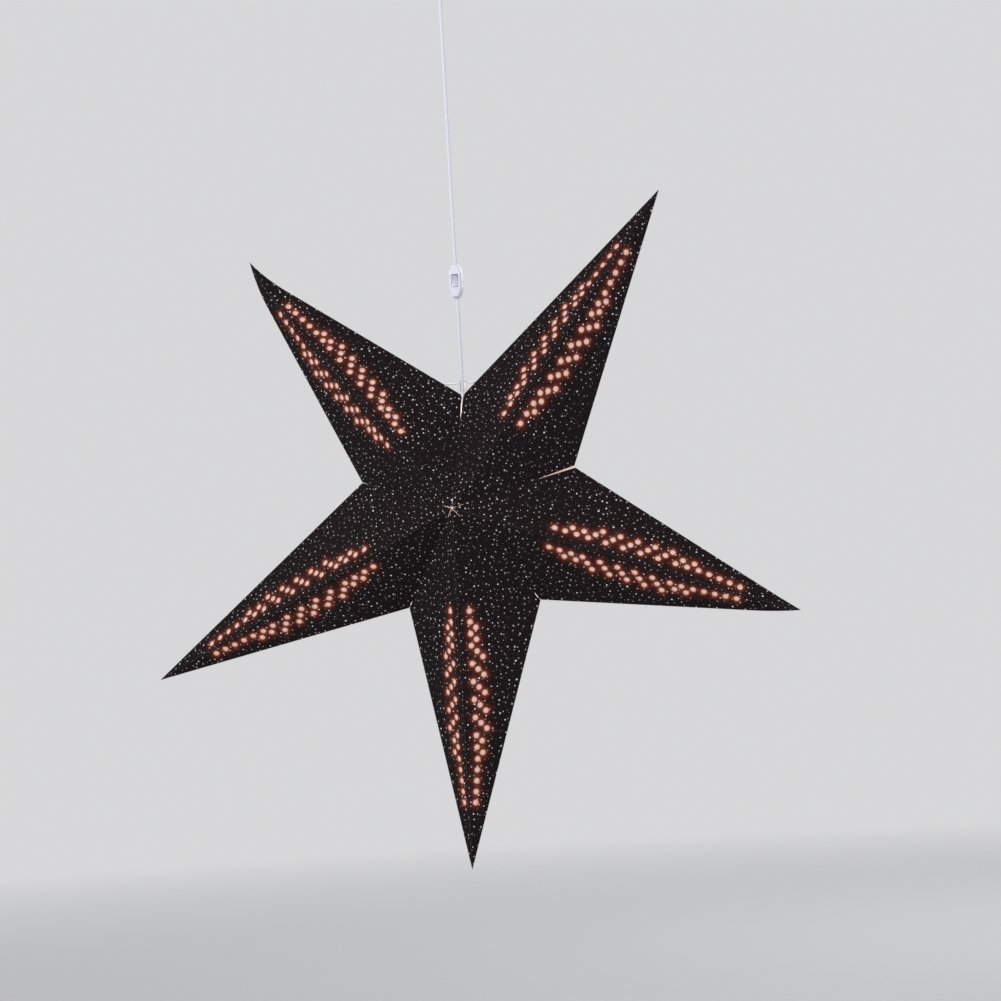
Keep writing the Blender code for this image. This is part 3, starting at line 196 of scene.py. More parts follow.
def set_camera():
    view = bpy.data.cameras.new("camera")
    view.lens = LENS_MM
    view.shift_x, view.shift_y = LENS_SHIFT
    turn, rise, roll = map(radians, CAMERA_DEG)
    out = Vector((sin(turn) * cos(rise), -cos(turn) * cos(rise), sin(rise)))
    right = Z.cross(out).normalized()
    aim = axes(right, out.cross(right), out) @ Matrix.Rotation(roll, 4, "Z")
    eye = add("camera", view)
    eye.matrix_world = Matrix.Translation(STAR + CAMERA_DISTANCE * out) @ aim
    bpy.context.scene.camera = eye


def add_lamp(name, place, size, power):
    """A round lamp that faces the star."""
    lamp = bpy.data.lights.new(name, "AREA")
    lamp.shape = "DISK"
    lamp.size = size
    lamp.energy = power
    place = Vector(place)
    turn = (place - STAR).to_track_quat("Z", "Y").to_matrix().to_4x4()
    add(name, lamp).matrix_world = Matrix.Translation(place) @ turn


def set_world():
    """A cool sky that lights the star, and a pale backdrop for the eye, for glass and for mirrors."""
    world = bpy.data.worlds.new("studio")
    world.use_nodes = True
    tree = world.node_tree
    sky = tree.nodes["Background"]
    sky.inputs["Color"].default_value = SKY_COLOUR
    sky.inputs["Strength"].default_value = SKY_STRENGTH
    backdrop = tree.nodes.new("ShaderNodeBackground")
    backdrop.inputs["Color"].default_value = BACKDROP_COLOUR
    seen = tree.nodes.new("ShaderNodeLightPath")
    factor = seen.outputs["Is Camera Ray"]
    for kind in ("Is Transmission Ray", "Is Glossy Ray"):
        either = tree.nodes.new("ShaderNodeMath")
        either.operation = "MAXIMUM"
        tree.links.new(factor, either.inputs[0])
        tree.links.new(seen.outputs[kind], either.inputs[1])
        factor = either.outputs[0]
    blend = tree.nodes.new("ShaderNodeMixShader")
    for socket, source in zip(blend.inputs, (factor, sky.outputs[0], backdrop.outputs[0])):
        tree.links.new(source, socket)
    tree.links.new(blend.outputs[0], tree.nodes["World Output"].inputs["Surface"])
    bpy.context.scene.world = world
    bpy.context.scene.view_settings.view_transform = "Standard"


def floor():
    shape = bmesh.new()
    ops.create_circle(shape, cap_ends=True, segments=64, radius=FLOOR_RADIUS)
    ground = add("floor", to_mesh(shape, (0, 0, FLOOR_HEIGHT)))
    ground.data.materials.append(floor_finish())


# Materials

def operator(operation, swapped=False):
    """A method that adds one sum to the material and gives its result."""
    def method(self, other=0.0):
        return self.maths(operation, *((other, self) if swapped else (self, other)))
    return method


class Value:
    """A link in a material, on which shader maths is written as plain maths."""

    def __init__(self, paint, socket):
        self.paint = paint
        self.socket = socket

    def maths(self, operation, first, second, clamp=False):
        return self.paint.node("Math", {"operation": operation, "use_clamp": clamp}, {0: first, 1: second})

    def clamped(self):
        return self.maths("ADD", self, 0.0, clamp=True)

    __add__ = __radd__ = operator("ADD")
    __sub__ = operator("SUBTRACT")
    __rsub__ = operator("SUBTRACT", swapped=True)
    __mul__ = __rmul__ = operator("MULTIPLY")
    __truediv__ = operator("DIVIDE")
    __pow__ = operator("POWER")
    least = operator("MINIMUM")
    most = operator("MAXIMUM")
    size = operator("ABSOLUTE")


class Paint:
    """A material in the making: its shader, and one method that adds any other node."""

    def __init__(self, name, **constants):
        self.name = name
        self.material = bpy.data.materials.new(name)
        self.material.use_nodes = True
        self.tree = self.material.node_tree
        self.shader = self.tree.nodes["Principled BSDF"]
        for socket, value in constants.items():
            self.feed(socket.replace("_", " "), value)

    def node(self, kind, settings, sockets, give=0):
        made = self.tree.nodes.new("ShaderNode" + kind)
        for name, value in settings.items():
            setattr(made, name, value)
        for key, value in sockets.items():
            self.plug(made.inputs[key], value)
        if isinstance(give, tuple):
            return [Value(self, made.outputs[key]) for key in give]
        return Value(self, made.outputs[give])

    def plug(self, socket, value):
        if isinstance(value, Value):
            self.tree.links.new(value.socket, socket)
        else:
            socket.default_value = value

    def feed(self, name, value):
        self.plug(self.shader.inputs[name], value)

    def ramp(self, factor, *stops):
        ramp = self.node("ValToRGB", {}, {0: factor})
        elements = ramp.socket.node.color_ramp.elements
        for index, (place, colour) in enumerate(stops):
            stop = elements[index] if index < 2 else elements.new(place)
            stop.position = place
            stop.color = (*colour, 1)
        return ramp

    def mix(self, factor, first, second):
        first, second = (c if isinstance(c, Value) else (*c, 1) for c in (first, second))
        return self.node("Mix", {"data_type": "RGBA"}, {0: factor, 6: first, 7: second}, give=2)

    def place(self):
        return self.node("TexCoord", {}, {}, give="Object")

    def map(self, name):
        return self.node("UVMap", {"uv_map": name}, {})

    def layer(self, name):
        return self.node("Attribute", {"attribute_name": name}, {}, give="Fac")

    def parts(self, vector):
        return self.node("SeparateXYZ", {}, {0: vector}, give=(0, 1, 2))

    def noise(self, scale, detail=3):
        """Noise of one scale, or drawn out by a scale for each axis."""
        place = self.place()
        if isinstance(scale, tuple):
            place = self.node("Mapping", {}, {"Vector": place, "Scale": scale})
            scale = 1.0
        return self.node("TexNoise", {}, {"Vector": place, "Scale": scale, "Detail": detail})

    def dots(self, panel, cell, radius, scatter):
        """Dots of uneven size and brightness, one in each cell of a loose grid."""
        distance, colour = self.node(
            "TexVoronoi", {"voronoi_dimensions": "2D"},
            {"Vector": panel, "Scale": 1 / cell, "Randomness": scatter}, give=("Distance", "Color"))
        bright, wide, _ = self.parts(colour)
        reach = radius * 0.45 + wide * (radius * 0.55)
        return ((reach - distance * cell) / DOT_BLUR).clamped() * (bright * 0.85 + 0.15)

    def finish(self, factor, first, second, relief, roughness=None, glow=None):
        """Feeds the shader and files the material. Relief is in metres; a glow is seen but lights nothing."""
        self.feed("Base Color", self.mix(factor, first, second))
        if roughness:
            self.feed("Roughness", roughness)
        if glow:
            self.material.cycles.emission_sampling = "NONE"
            self.feed("Emission Color", glow)
            self.feed("Emission Strength", 1.0)
        self.feed("Normal", self.node("Bump", {}, {"Height": relief, "Distance": 1.0, "Strength": 1.0}))
        FINISHES[self.name] = self.material


FINISHES = {}


def black_paper():
    """Matt black paper: silver flecks, folds lightened partly by wear and partly by a painted sheen, and a
    painted red glow round each lit hole.
    """
    paint = Paint("black_paper", Specular_IOR_Level=0.06)
    panel = paint.map("panel")
    _, across, _ = paint.parts(panel)
    outer_fold, seam, _ = paint.parts(paint.map("folds"))
    patchy = (paint.noise(17, 2) * 3.4 - 0.95).clamped() * 0.65 + 0.35
    fleck = paint.dots(panel, *FLECKS).most(paint.dots(panel, *DUST) * 0.4) * patchy
    fibres = paint.noise(420, 4)
    cloud = paint.noise(9, 2)
    ink = paint.mix(fibres, (0.0056, 0.0034, 0.004), (0.013, 0.009, 0.01))
    ink = paint.mix(cloud * 0.5, ink, (0.019, 0.012, 0.0128))
    near_fold = (1 - outer_fold.least(across.size()) / WEAR_AND_SHEEN_WIDTH).clamped()
    # lighter patches along the folds: partly wear, partly a painted sheen where a crease catches the light
    wear_and_sheen = near_fold * (paint.noise(75, 3) * 2.2 - 0.55).clamped()
    cut_edge = (1 - seam / CUT_EDGE_WIDTH).clamped()
    ink = paint.mix((wear_and_sheen * 0.34).most(cut_edge * 0.12), ink, (0.15, 0.14, 0.145))
    # painted red glow on the black paper round each hole, standing in for the lamp's light spilling out
    halo = paint.ramp(
        paint.layer("glow"), (0, (0, 0, 0)), (0.42, (0.014, 0.0014, 0.0006)), (0.72, (0.044, 0.0062, 0.0022)),
        (0.9, (0.105, 0.019, 0.007)), (1, (0.26, 0.068, 0.028)))
    paint.finish(
        fleck, ink, (0.93, 0.92, 0.93),
        fibres * 0.000035 + paint.noise(1300, 2) * 0.000012 + cloud * 0.0011 + fleck * 0.00003,
        0.78 + fibres * 0.16 - fleck * 0.4, halo)


def paper_inside():
    """The inner face: bare white paper, with the bulb's warm light painted on as a glow."""
    paint = Paint("paper_inside", Roughness=0.85)
    fibres = paint.noise(380, 4)
    # painted lamp light: dim near the centre, brightest a little way out, dimmer towards the tips
    lit = paint.ramp(
        paint.layer("reach"), (0.18, (0.24, 0.22, 0.21)), (0.24, (0.5, 0.46, 0.42)),
        (0.3, (0.96, 0.93, 0.89)), (1, (0.6, 0.5, 0.44)))
    paint.finish(
        fibres, (0.8, 0.72, 0.66), (0.9, 0.84, 0.79), fibres * 0.00004,
        glow=paint.mix(paint.noise(120, 3) * 0.4, lit, (0.34, 0.3, 0.28)))


def bare_edge():
    """The unprinted edge of a sheet: thin pale paper, with the light behind it painted on as a glow."""
    paint = Paint("bare_edge", Roughness=0.85)
    fibres = paint.noise(420, 4)
    # the glow is painted light from behind the sheet
    paint.finish(
        fibres, (0.38, 0.3, 0.29), (0.46, 0.37, 0.36), fibres * 0.00003,
        glow=paint.mix(paint.noise(90, 3), (0.56, 0.36, 0.33), (0.34, 0.15, 0.11)))


def lining_paper():
    """Thin translucent paper behind the holes, with the lamp's light through it painted on as a glow: pale in
    the middle of a hole, red at its rim.
    """
    paint = Paint("lining_paper", Roughness=0.8)
    fibres = paint.noise(520, 3)
    # painted lamp light through the lining, by how near the middle of a hole it lies
    lit = paint.ramp(
        paint.layer("glow"), (0, (0.49, 0.36, 0.36)), (0.5, (0.5, 0.36, 0.35)),
        (0.75, (0.46, 0.26, 0.21)), (1, (0.31, 0.09, 0.045)))
    # the painted glow fades on the holes further out
    dim = (paint.layer("reach") * 1.25 - 0.55).clamped() * 0.26 + fibres * 0.1
    paint.finish(
        fibres, (0.24, 0.17, 0.16), (0.31, 0.23, 0.22), fibres * 0.00003,
        glow=paint.mix(dim, lit, (0.34, 0.17, 0.13)))


def grained(name, scale, detail, dark, light, roughness, spread, relief, **constants):
    """A finish in which one grain moves the colour, the sheen and the relief."""
    paint = Paint(name, **constants)
    grain = paint.noise(scale, detail)
    paint.finish(grain, dark, light, grain * relief, roughness + grain * spread)


def plastic(name, dark, light, roughness=0.38):
    """Moulded plastic: faint clouding and a fine sparked skin."""
    paint = Paint(name, Coat_Weight=0.06)
    cloud = paint.noise(60, 2)
    skin = paint.noise(2600, 2)
    paint.finish(
        cloud, dark, light, skin * 0.000014 + cloud * 0.00003,
        roughness + cloud * 0.08 + skin * 0.08)


def cord_sheath():
    """Smooth white sheath with the faint lengthwise drag of its die and a little grime."""
    paint = Paint("cord_sheath")
    drag = paint.noise((2400, 2400, 40))
    grime = (paint.noise(26, 3) - 0.35).clamped() * 0.7
    paint.finish(grime, (0.7, 0.7, 0.8), (0.6, 0.59, 0.68), drag * 0.00002, 0.42 + drag * 0.16)


def metal(name, bright, dull, roughness):
    """Drawn or turned metal: fine lines with duller patches."""
    paint = Paint(name, Metallic=1.0)
    lines = paint.noise((120, 120, 1500))
    patch = (paint.noise(180, 3) - 0.3).clamped()
    paint.finish(patch, bright, dull, lines * 0.000012, roughness + lines * 0.18)


def zinc_plate():
    """Zinc coating with its crystal spangle."""
    paint = Paint("zinc_plate", Metallic=1.0)
    crystal = paint.node("TexVoronoi", {}, {"Vector": paint.place(), "Scale": 210.0}, give="Color")
    shade, _, _ = paint.parts(crystal)
    scratches = paint.noise((900, 60, 60), 2)
    paint.finish(
        shade, (0.52, 0.53, 0.56), (0.7, 0.71, 0.74), scratches * 0.00001,
        0.26 + shade * 0.16 + scratches * 0.12)


def ceramic():
    paint = Paint("ceramic")
    grain = paint.noise(1500, 4)
    specks = (paint.noise(700, 2) * 6 - 3.9).clamped() * 0.5
    paint.finish(specks, (0.84, 0.82, 0.77), (0.55, 0.5, 0.42), grain * 0.00003, 0.45 + grain * 0.2)


def lit_wire():
    paint = Paint("lit_wire", Roughness=0.4)
    coil = paint.noise((300, 300, 4200), 1)
    paint.finish(
        coil, (0.55, 0.4, 0.25), (0.85, 0.62, 0.38), coil * 0.0001,
        glow=paint.mix(coil, (1.0, 0.48, 0.16), (1.0, 0.74, 0.4)))


def floor_finish():
    """Plain pale floor that fades into the pale background."""
    paint = Paint("floor_finish", Roughness=0.9)
    x, y, _ = paint.parts(paint.place())
    paint.feed("Base Color", paint.mix(paint.noise(40, 3), (0.67, 0.67, 0.68), (0.7, 0.7, 0.71)))
    far = (((x * x + y * y) ** 0.5 - FADE_FROM) / FADE_OVER).clamped()
    gone = paint.node("BsdfTransparent", {}, {})
    blend = paint.node("MixShader", {}, {0: far, 1: Value(paint, paint.shader.outputs[0]), 2: gone})
    paint.plug(paint.tree.nodes["Material Output"].inputs["Surface"], blend)
    return paint.material


def make_finishes():
    for paint in (
            black_paper, paper_inside, lining_paper, bare_edge, cord_sheath, zinc_plate, ceramic, lit_wire):
        paint()
    grained(
        "coated_wire", 900, 3, (0.8, 0.8, 0.83), (0.9, 0.9, 0.92), 0.26, 0.14, 0.00002, Coat_Weight=0.25)
    grained("black_glass", 300, 3, (0.012, 0.012, 0.016), (0.035, 0.033, 0.042), 0.12, 0.1, 0.00003)
    grained(
        "clear_plastic", (260, 260, 90), 3, (0.86, 0.84, 0.79), (0.94, 0.93, 0.89), 0.16, 0.14, 0.00003,
        Transmission_Weight=0.12, IOR=1.49)
    grained(
        "lit_glass", 70, 2, (0.98, 0.93, 0.86), (1.0, 0.97, 0.93), 0.02, 0.03, 0.00012,
        Transmission_Weight=1.0, IOR=1.12)
    plastic("white_plastic", (0.66, 0.67, 0.79), (0.73, 0.74, 0.84))
    plastic("cup_plastic", (0.82, 0.82, 0.82), (0.87, 0.87, 0.86), 0.32)
    plastic("rocker_plastic", (0.52, 0.53, 0.64), (0.6, 0.61, 0.7), 0.3)
    plastic("wire_sheath", (0.3, 0.33, 0.42), (0.42, 0.45, 0.55), 0.4)
    metal("brass", (0.8, 0.6, 0.27), (0.52, 0.36, 0.15), 0.22)
    metal("steel", (0.66, 0.66, 0.67), (0.42, 0.42, 0.44), 0.26)


def piece(name, mesh, finish, body, *nodes, sharp_deg=32):
    """A finished piece: its finish, the body it rides on and the nodes it stands for."""
    thing = add(name, mesh)
    mesh.materials.clear()
    mesh.materials.append(FINISHES[finish])
    if sharp_deg:
        mesh.polygons.foreach_set("use_smooth", [True] * len(mesh.polygons))
        mesh.set_sharp_from_angle(angle=radians(sharp_deg))
    if body:
        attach(thing, body)
    if nodes:
        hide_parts(*nodes)
    return thing


# Ways to make a shape

def freed(shape):
    mesh = bpy.data.meshes.new("mesh")
    shape.to_mesh(mesh)
    shape.free()
    return mesh


def to_mesh(shape, centre=(0, 0, 0)):
    ops.translate(shape, vec=centre, verts=shape.verts)
    ops.remove_doubles(shape, verts=shape.verts, dist=MERGE)
    ops.recalc_face_normals(shape, faces=shape.faces)
    return freed(shape)


def evaluated(*things):
    """The finished mesh of the first object; all the objects are then removed."""
    graph = bpy.context.evaluated_depsgraph_get()
    mesh = bpy.data.meshes.new_from_object(things[0].evaluated_get(graph))
    for thing in things:
        bpy.data.objects.remove(thing)
    return mesh


def round_edges(shape, edges, width, segments, clamp=False):
    ops.bevel(
        shape, geom=edges, offset=width, segments=segments, profile=0.5, affect="EDGES", material=-1,
        clamp_overlap=clamp)


def softened(outline, radius, closed=True, steps=3, side_share=0.45, nearly_straight=0.985):
    """An outline with each corner rounded off; corners on the axis and very short sides stay."""
    points = [Vector(p) for p in outline]
    count = len(points)
    result = []
    for i, corner in enumerate(points):
        if not closed and i in (0, count - 1):
            result.append(corner)
            continue
        before, after = points[i - 1] - corner, points[(i + 1) % count] - corner
        cut = min(radius, before.length * side_share, after.length * side_share)
        straight = before.normalized().dot(after.normalized()) < -nearly_straight
        if straight or cut < MERGE * 4 or corner.x < MERGE:
            result.append(corner)
            continue
        start, end = corner + before.normalized() * cut, corner + after.normalized() * cut
        for k in range(steps + 1):
            t = k / steps
            result.append(start * (1 - t) ** 2 + corner * (2 * t * (1 - t)) + end * t ** 2)
    return result


def arc(centre_radius, centre_height, radius, start_deg, end_deg, steps):
    angles = [radians(start_deg + (end_deg - start_deg) * i / steps) for i in range(steps + 1)]
    return [(centre_radius + radius * cos(a), centre_height + radius * sin(a)) for a in angles]


def turned(outline, steps=64, closed=True, soften=0.0004, centre=(0, 0, 0), along="Z"):
    """Turns an outline of radius and height, in millimetres, about the upright axis."""
    outline = softened(path(*outline), soften, closed) if soften else path(*outline)
    shape = bmesh.new()
    corners = [shape.verts.new((radius, 0, height)) for radius, height in outline]
    pairs = list(zip(corners, corners[1:])) + ([(corners[-1], corners[0])] if closed else [])
    edges = [shape.edges.new(pair) for pair in pairs]
    ops.spin(shape, geom=corners + edges, axis=Z, angle=2 * pi, steps=steps, use_merge=True)
    ops.remove_doubles(shape, verts=shape.verts, dist=MERGE)
    if along == "Y":
        ops.rotate(shape, matrix=Matrix.Rotation(-pi / 2, 3, "X"), verts=shape.verts)
    return to_mesh(shape, centre)


def box(size, centre, bevel=0.0):
    shape = bmesh.new()
    ops.create_cube(shape, size=1)
    ops.scale(shape, vec=size, verts=shape.verts)
    if bevel:
        round_edges(shape, shape.edges[:], bevel, 3)
    return to_mesh(shape, centre)


def rod(radius, length, centre, along="Z", sides=24, flat=1.0, bevel=0.0):
    shape = bmesh.new()
    ops.create_cone(shape, cap_ends=True, segments=sides, radius1=radius, radius2=radius, depth=length)
    if bevel:
        rims = [e for e in shape.edges if abs(e.verts[0].co.z - e.verts[1].co.z) < MERGE]
        round_edges(shape, rims, bevel, 4)
    ops.scale(shape, vec=(1, flat, 1), verts=shape.verts)
    if along != "Z":
        turn = Matrix.Rotation(pi / 2, 3, "Y" if along == "X" else "X")
        ops.rotate(shape, matrix=turn, verts=shape.verts)
    return to_mesh(shape, centre)


def extruded(corners, run):
    """A prism from a flat ring of corners, along a run."""
    shape = bmesh.new()
    face = shape.faces.new([shape.verts.new(corner) for corner in corners])
    raised = ops.extrude_face_region(shape, geom=[face])["geom"]
    ops.translate(shape, vec=run, verts=[v for v in raised if isinstance(v, bmesh.types.BMVert)])
    ops.recalc_face_normals(shape, faces=shape.faces)
    return shape


def slab(outline, low, high, bevel_low=0.0, bevel_high=0.0, segments=5):
    """An outline in X and Z, as thick as from one Y to another, with its front or back rim rounded."""
    shape = extruded([(x, low, z) for x, z in outline], (0, high - low, 0))
    for level, width in ((low, bevel_low), (high, bevel_high)):
        rim = [e for e in shape.edges if width and all(abs(v.co.y - level) < MERGE for v in e.verts)]
        if rim:
            round_edges(shape, rim, width, segments, clamp=True)
    return to_mesh(shape)


def carved(mesh, *steps):
    """Cuts other meshes out of one, or joins them to it, and gives the finished mesh."""
    body = add("body", mesh)
    tools = [add("tool", tool) for _, tool in steps]
    for (operation, _), tool in zip(steps, tools):
        step = body.modifiers.new("step", "BOOLEAN")
        step.operation = operation
        step.object = tool
        step.solver = "EXACT"
    return evaluated(body, *tools)


def slotted(screw, place, *sizes):
    """A screw with a slot of each size cut into its head."""
    return carved(screw, *[(CUT, box(mm(*size), place)) for size in sizes])


def swept(route, width, depth, sides=CORD_SIDES):
    """A cord or wire of oval section along a route that stays near the YZ plane."""
    shape = bmesh.new()
    rings = []
    for i, point in enumerate(route):
        ahead = (route[min(i + 1, len(route) - 1)] - route[max(i - 1, 0)]).normalized()
        side = (X - ahead * X.dot(ahead)).normalized()
        section = axes(side * width / 2, ahead.cross(side) * depth / 2, ahead)
        ring_verts = ops.create_circle(
            shape, cap_ends=i in (0, len(route) - 1), segments=sides, radius=1,
            matrix=Matrix.Translation(point) @ section)["verts"]
        rings.append(list({edge for vert in ring_verts for edge in vert.link_edges}))
    for first, second in zip(rings, rings[1:]):
        ops.bridge_loops(shape, edges=first + second)
    return to_mesh(shape)


# Cords

def cord(name, top, foot, body, *nodes):
    """A taut stretch of the flat cord, wide side to the front."""
    count = max(12, round((foot - top) / ROUTE_STEP))
    route = [Vector((0, 0, -top - (foot - top) * i / count)) for i in range(count + 1)]
    stretch = piece(name, swept(route, CORD_WIDTH, CORD_DEPTH), "cord_sheath", body, *nodes)
    return stretch


def cords():
    top = cord("ceiling_stretch", FEED_TOP, CORD_JOIN, None, "feed_cord", "top_cord")
    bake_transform(top, "ceiling", "top_hang", start=(0, 0, -0.048), end=(0, 0, -0.0605))
    upper = cord("upper_stretch", CORD_JOIN, SWITCH_TOP, None, "upper_cord")
    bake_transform(upper, "top_hang", "cord_hang", start=(0, 0, -0.0655), end=(0, 0, -0.0767))
    cord("lower_stretch", SWITCH_FOOT, CLIP_TOP, "cord_hang", "lower_cord")
    cord("star_stretch", CLIP_TOP, HOLDER_SEAT, "lantern", "inner_cord")
    for hand, side in HANDS:
        piece("core_wire_" + hand, core_wire(side), "wire_sheath", "ceiling")


def core_wire(side, close=1.0, bend=6.0, steps=8):
    """One of the two insulated cores, from its bore in the block round into the tube."""
    route = [BLOCK + at(side * CORE_MM, 1.5 * i, 0) for i in range(3)]
    for i in range(1, steps + 1):
        t = i / steps
        ease = t * t * (3 - 2 * t)
        route.append(BLOCK + at(side * (CORE_MM + (close - CORE_MM) * ease), 3 + 7.5 * t, 0))
    for i in range(1, steps + 1):
        angle = pi / 2 * i / steps
        route.append(Z * BLOCK.z + at(side * close, bend * (sin(angle) - 1), bend * (cos(angle) - 1)))
    route.append(at(side * close, 0, -1) - Z * FEED_TOP)
    return swept(route, 0.0016, 0.0016, 14)


# The paper points

class Panel:
    """One of a point's four flat panels. Its flat corners are measured from the hub, along the ridge and
    across it. Hand 0 is next to the seam before the point and hand 1 next to the seam after it, going
    clockwise as seen from the front."""

    def __init__(self, index, side, hand):
        middle = FIRST_POINT_DEG - index * STEP_DEG
        ahead, run = heading(middle), heading(middle + STEP_DEG * (1 / 2 - hand))
        set_off = ahead * (FIT / 2 / sin(radians(STEP_DEG / 2)))
        tip = heading(middle + POINT_LEAN_DEG[index]) * (TIP_RADIUS * POINT_REACH_SHARES[index])
        valley = set_off + run * VALLEY_RADIUS
        self.index, self.side, self.point_end = index, side, tip
        self.hub = set_off + Y * (side * HALF_DEPTH)
        self.along = (tip - self.hub).normalized()
        across = valley - self.hub
        self.across = (across - self.along * across.dot(self.along)).normalized()
        self.inwards = (ahead - run * ahead.dot(run)).normalized()
        open_width, open_length = SEAMS[index - 1 + hand]
        fold, seam = (tip - valley).normalized(), across.normalized()
        mouth = valley + fold * ((open_width - FIT) / 2 / fold.dot(self.inwards))
        self.seam_ends = (self.hub + seam * SEAM_SLIT, valley - seam * open_length)
        self.tip, self.valley, self.mouth, start, end = map(self.flat, (tip, valley, mouth, *self.seam_ends))
        self.fold, self.seam = (self.tip, self.mouth), (end, start)

    def flat(self, place):
        return Vector(((place - self.hub).dot(self.along), (place - self.hub).dot(self.across)))

    def laid(self, point):
        """The place of a flat point in space."""
        return self.hub + self.along * point.x + self.across * point.y

    def bent(self, point):
        """Where a flat point goes once the tail of the star's point has bent."""
        place = self.laid(point)
        outwards, length = self.point_end.normalized(), self.point_end.length
        inner = length * (1 - TAIL_SHARE)
        ease = max(0.0, (place.dot(outwards) - inner) / (length - inner)) ** 2
        sideways, along = TAIL_BENDS[self.index]
        return place + (outwards.cross(Y) * sideways + outwards * along) * ease

    def edge(self):
        """Round the panel: its ridge, its outer fold and its seam, with the slit along the ridge. Both
        folds have corners as far in as the glow goes, so that the tail can bend and the glow can fade."""
        tip, mouth = self.fold
        half = RIDGE_SLIT_WIDTH / 2
        corner = Vector((half * self.valley.x / self.valley.y, half))
        count = int((tip.x * (1 - FIRST_ROW_SHARE) + GLOW_REACH) / EDGE_STEP)
        fold_run = (mouth - tip).normalized()
        ridge = [Vector((tip.x - EDGE_STEP * i, 0)) for i in range(count, 0, -1)]
        fold = [tip + fold_run * (EDGE_STEP * i) for i in range(1, count + 1)
                if EDGE_STEP * (i + 1) < (mouth - tip).length]
        return [Vector((RIDGE_SLITS[self.index], 0)), *ridge, tip, *fold, mouth, *self.seam, corner]

    def hole_places(self):
        """Middles of the panel's holes, in rows that slant from the ridge towards the tip."""
        tip, mouth = self.fold
        places = []
        along = FIRST_ROW_SHARE * tip.x
        for count in ROW_COUNTS:
            width = mouth.y * (tip.x - along) / (tip.x - mouth.x)
            inner = min(BAND_OFFSET, BAND_TAPER_SHARE * width)
            places += [Vector((along, inner)) + HOLE_STEP * k for k in range(count)]
            along += ROW_PITCH_SHARES[count] * tip.x
        return places

    def glow_spots(self, places):
        """Corners between the holes, on which the glow fades."""
        spots = []
        for row in range(int(self.mouth.y / GLOW_STEP) + 1):
            for i in range(int(self.tip.x / GLOW_STEP) + 1):
                spot = Vector((i + row % 2 / 2, row + 1 / 2)) * GLOW_STEP
                gap = min((spot - place).length for place in places)
                inside = min(beside_line(spot, *self.fold), beside_line(spot, *self.seam)) > HALO_MARGIN
                if inside and HALO_RADIUS + HALO_MARGIN < gap < HOLE_RADIUS + GLOW_REACH + GLOW_STEP:
                    spots.append(spot)
        return spots

    def flap(self):
        """The seam's flap: flat corners, where it starts, and its directions along and into the star."""
        start, end = self.seam_ends
        length = (end - start).length
        along = (end - start).normalized()
        into = along.cross(self.inwards)
        into = into if into.y * self.side < 0 else -into
        edge = [(0, 0), (length, 0), (length - FLAP_SLANT * FLAP_WIDTH, FLAP_WIDTH), (FLAP_WIDTH, FLAP_WIDTH)]
        return [Vector(p) for p in edge], start, along, into


def inset(panels, distance):
    """The shift that moves all the panels of a point inwards by one distance."""
    rows = []
    for panel in panels[:2]:
        normal = panel.along.cross(panel.across)
        outwards = 1 if normal.y < 0 else -1
        rows.append((outwards * normal.x, outwards * normal.z))
    shift = Matrix(rows).inverted() @ Vector((-distance, -distance))
    return Vector((shift.x, 0, shift.y))


def ring(centre, radius):
    turns = [2 * pi * i / HOLE_SIDES for i in range(HOLE_SIDES)]
    return [centre + Vector((cos(turn), sin(turn))) * radius for turn in turns]


def flat_triangles(edge, holes=(), lines=(), spots=()):
    """Triangles of a flat sheet with open holes; lines and spots are corners that it also has."""
    outlines = [edge, *holes, *lines]
    corners = [corner for outline in outlines for corner in outline]
    owners = [index for index, outline in enumerate(outlines) for _ in outline]
    edges = []
    for outline in outlines:
        first = len(edges)
        edges += [(first + i, first + (i + 1) % len(outline)) for i in range(len(outline))]
    corners += spots
    owners += [0] * len(spots)
    flat, _, faces, *_ = delaunay_2d_cdt(corners, edges, [], INSIDE_ONLY, MERGE)
    open_ones = range(1, len(holes) + 1)
    faces = [f for f in faces if len({owners[i] for i in f}) > 1 or owners[f[0]] not in open_ones]
    return flat, faces


def beside_line(point, start, end):
    """How far a flat point lies inside a line of its panel; beyond the line it is below zero."""
    run = (end - start).normalized()
    return (point - start).y * run.x - (point - start).x * run.y


def near_hole(point, places, inner, outer):
    """1 within the inner radius of a hole's middle, and 0 from the outer one on."""
    gap = min((point - place).length for place in places)
    return max(0.0, min(1.0, (outer - gap) / (outer - inner)))


class Folded:
    """A folded sheet in the making, with its maps and the glow that its finish follows."""

    def __init__(self):
        self.shape = bmesh.new()
        self.panel, self.folds = map(self.shape.loops.layers.uv.new, ("panel", "folds"))
        self.glow, self.reach = map(self.shape.verts.layers.float.new, ("glow", "reach"))

    def lay(self, triangles, place, folds=lambda p: (1, 1), glow=lambda p: 0.0, serial=0):
        """Adds flat triangles; place, folds and glow are worked out for each flat corner."""
        flat, faces = triangles
        corners = []
        for point in flat:
            corner = self.shape.verts.new(place(point))
            corner[self.glow] = glow(point)
            corner[self.reach] = corner.co.length / TIP_RADIUS
            corners.append(corner)
        for face in faces:
            made = self.shape.faces.new([corners[i] for i in face])
            for loop, i in zip(made.loops, face):
                loop[self.panel].uv = (flat[i].x + 2 * serial, flat[i].y)
                loop[self.folds].uv = folds(flat[i])

    def finish(self, name, finish, thickness, *nodes):
        """The finished sheet, with its outer face outside and its thickness inside."""
        shape = self.shape
        ops.remove_doubles(shape, verts=shape.verts, dist=MERGE)
        ops.recalc_face_normals(shape, faces=shape.faces)
        foremost = min(shape.faces, key=lambda face: face.calc_center_median().y)
        if foremost.normal.y > 0:
            ops.reverse_faces(shape, faces=shape.faces)
        ops.translate(shape, vec=STAR, verts=shape.verts)
        made = piece(name, freed(shape), finish, "lantern", *nodes, sharp_deg=0)
        shell = made.modifiers.new("thickness", "SOLIDIFY")
        shell.thickness = thickness
        shell.offset = -1.0
        shell.use_even_offset = True
        return made


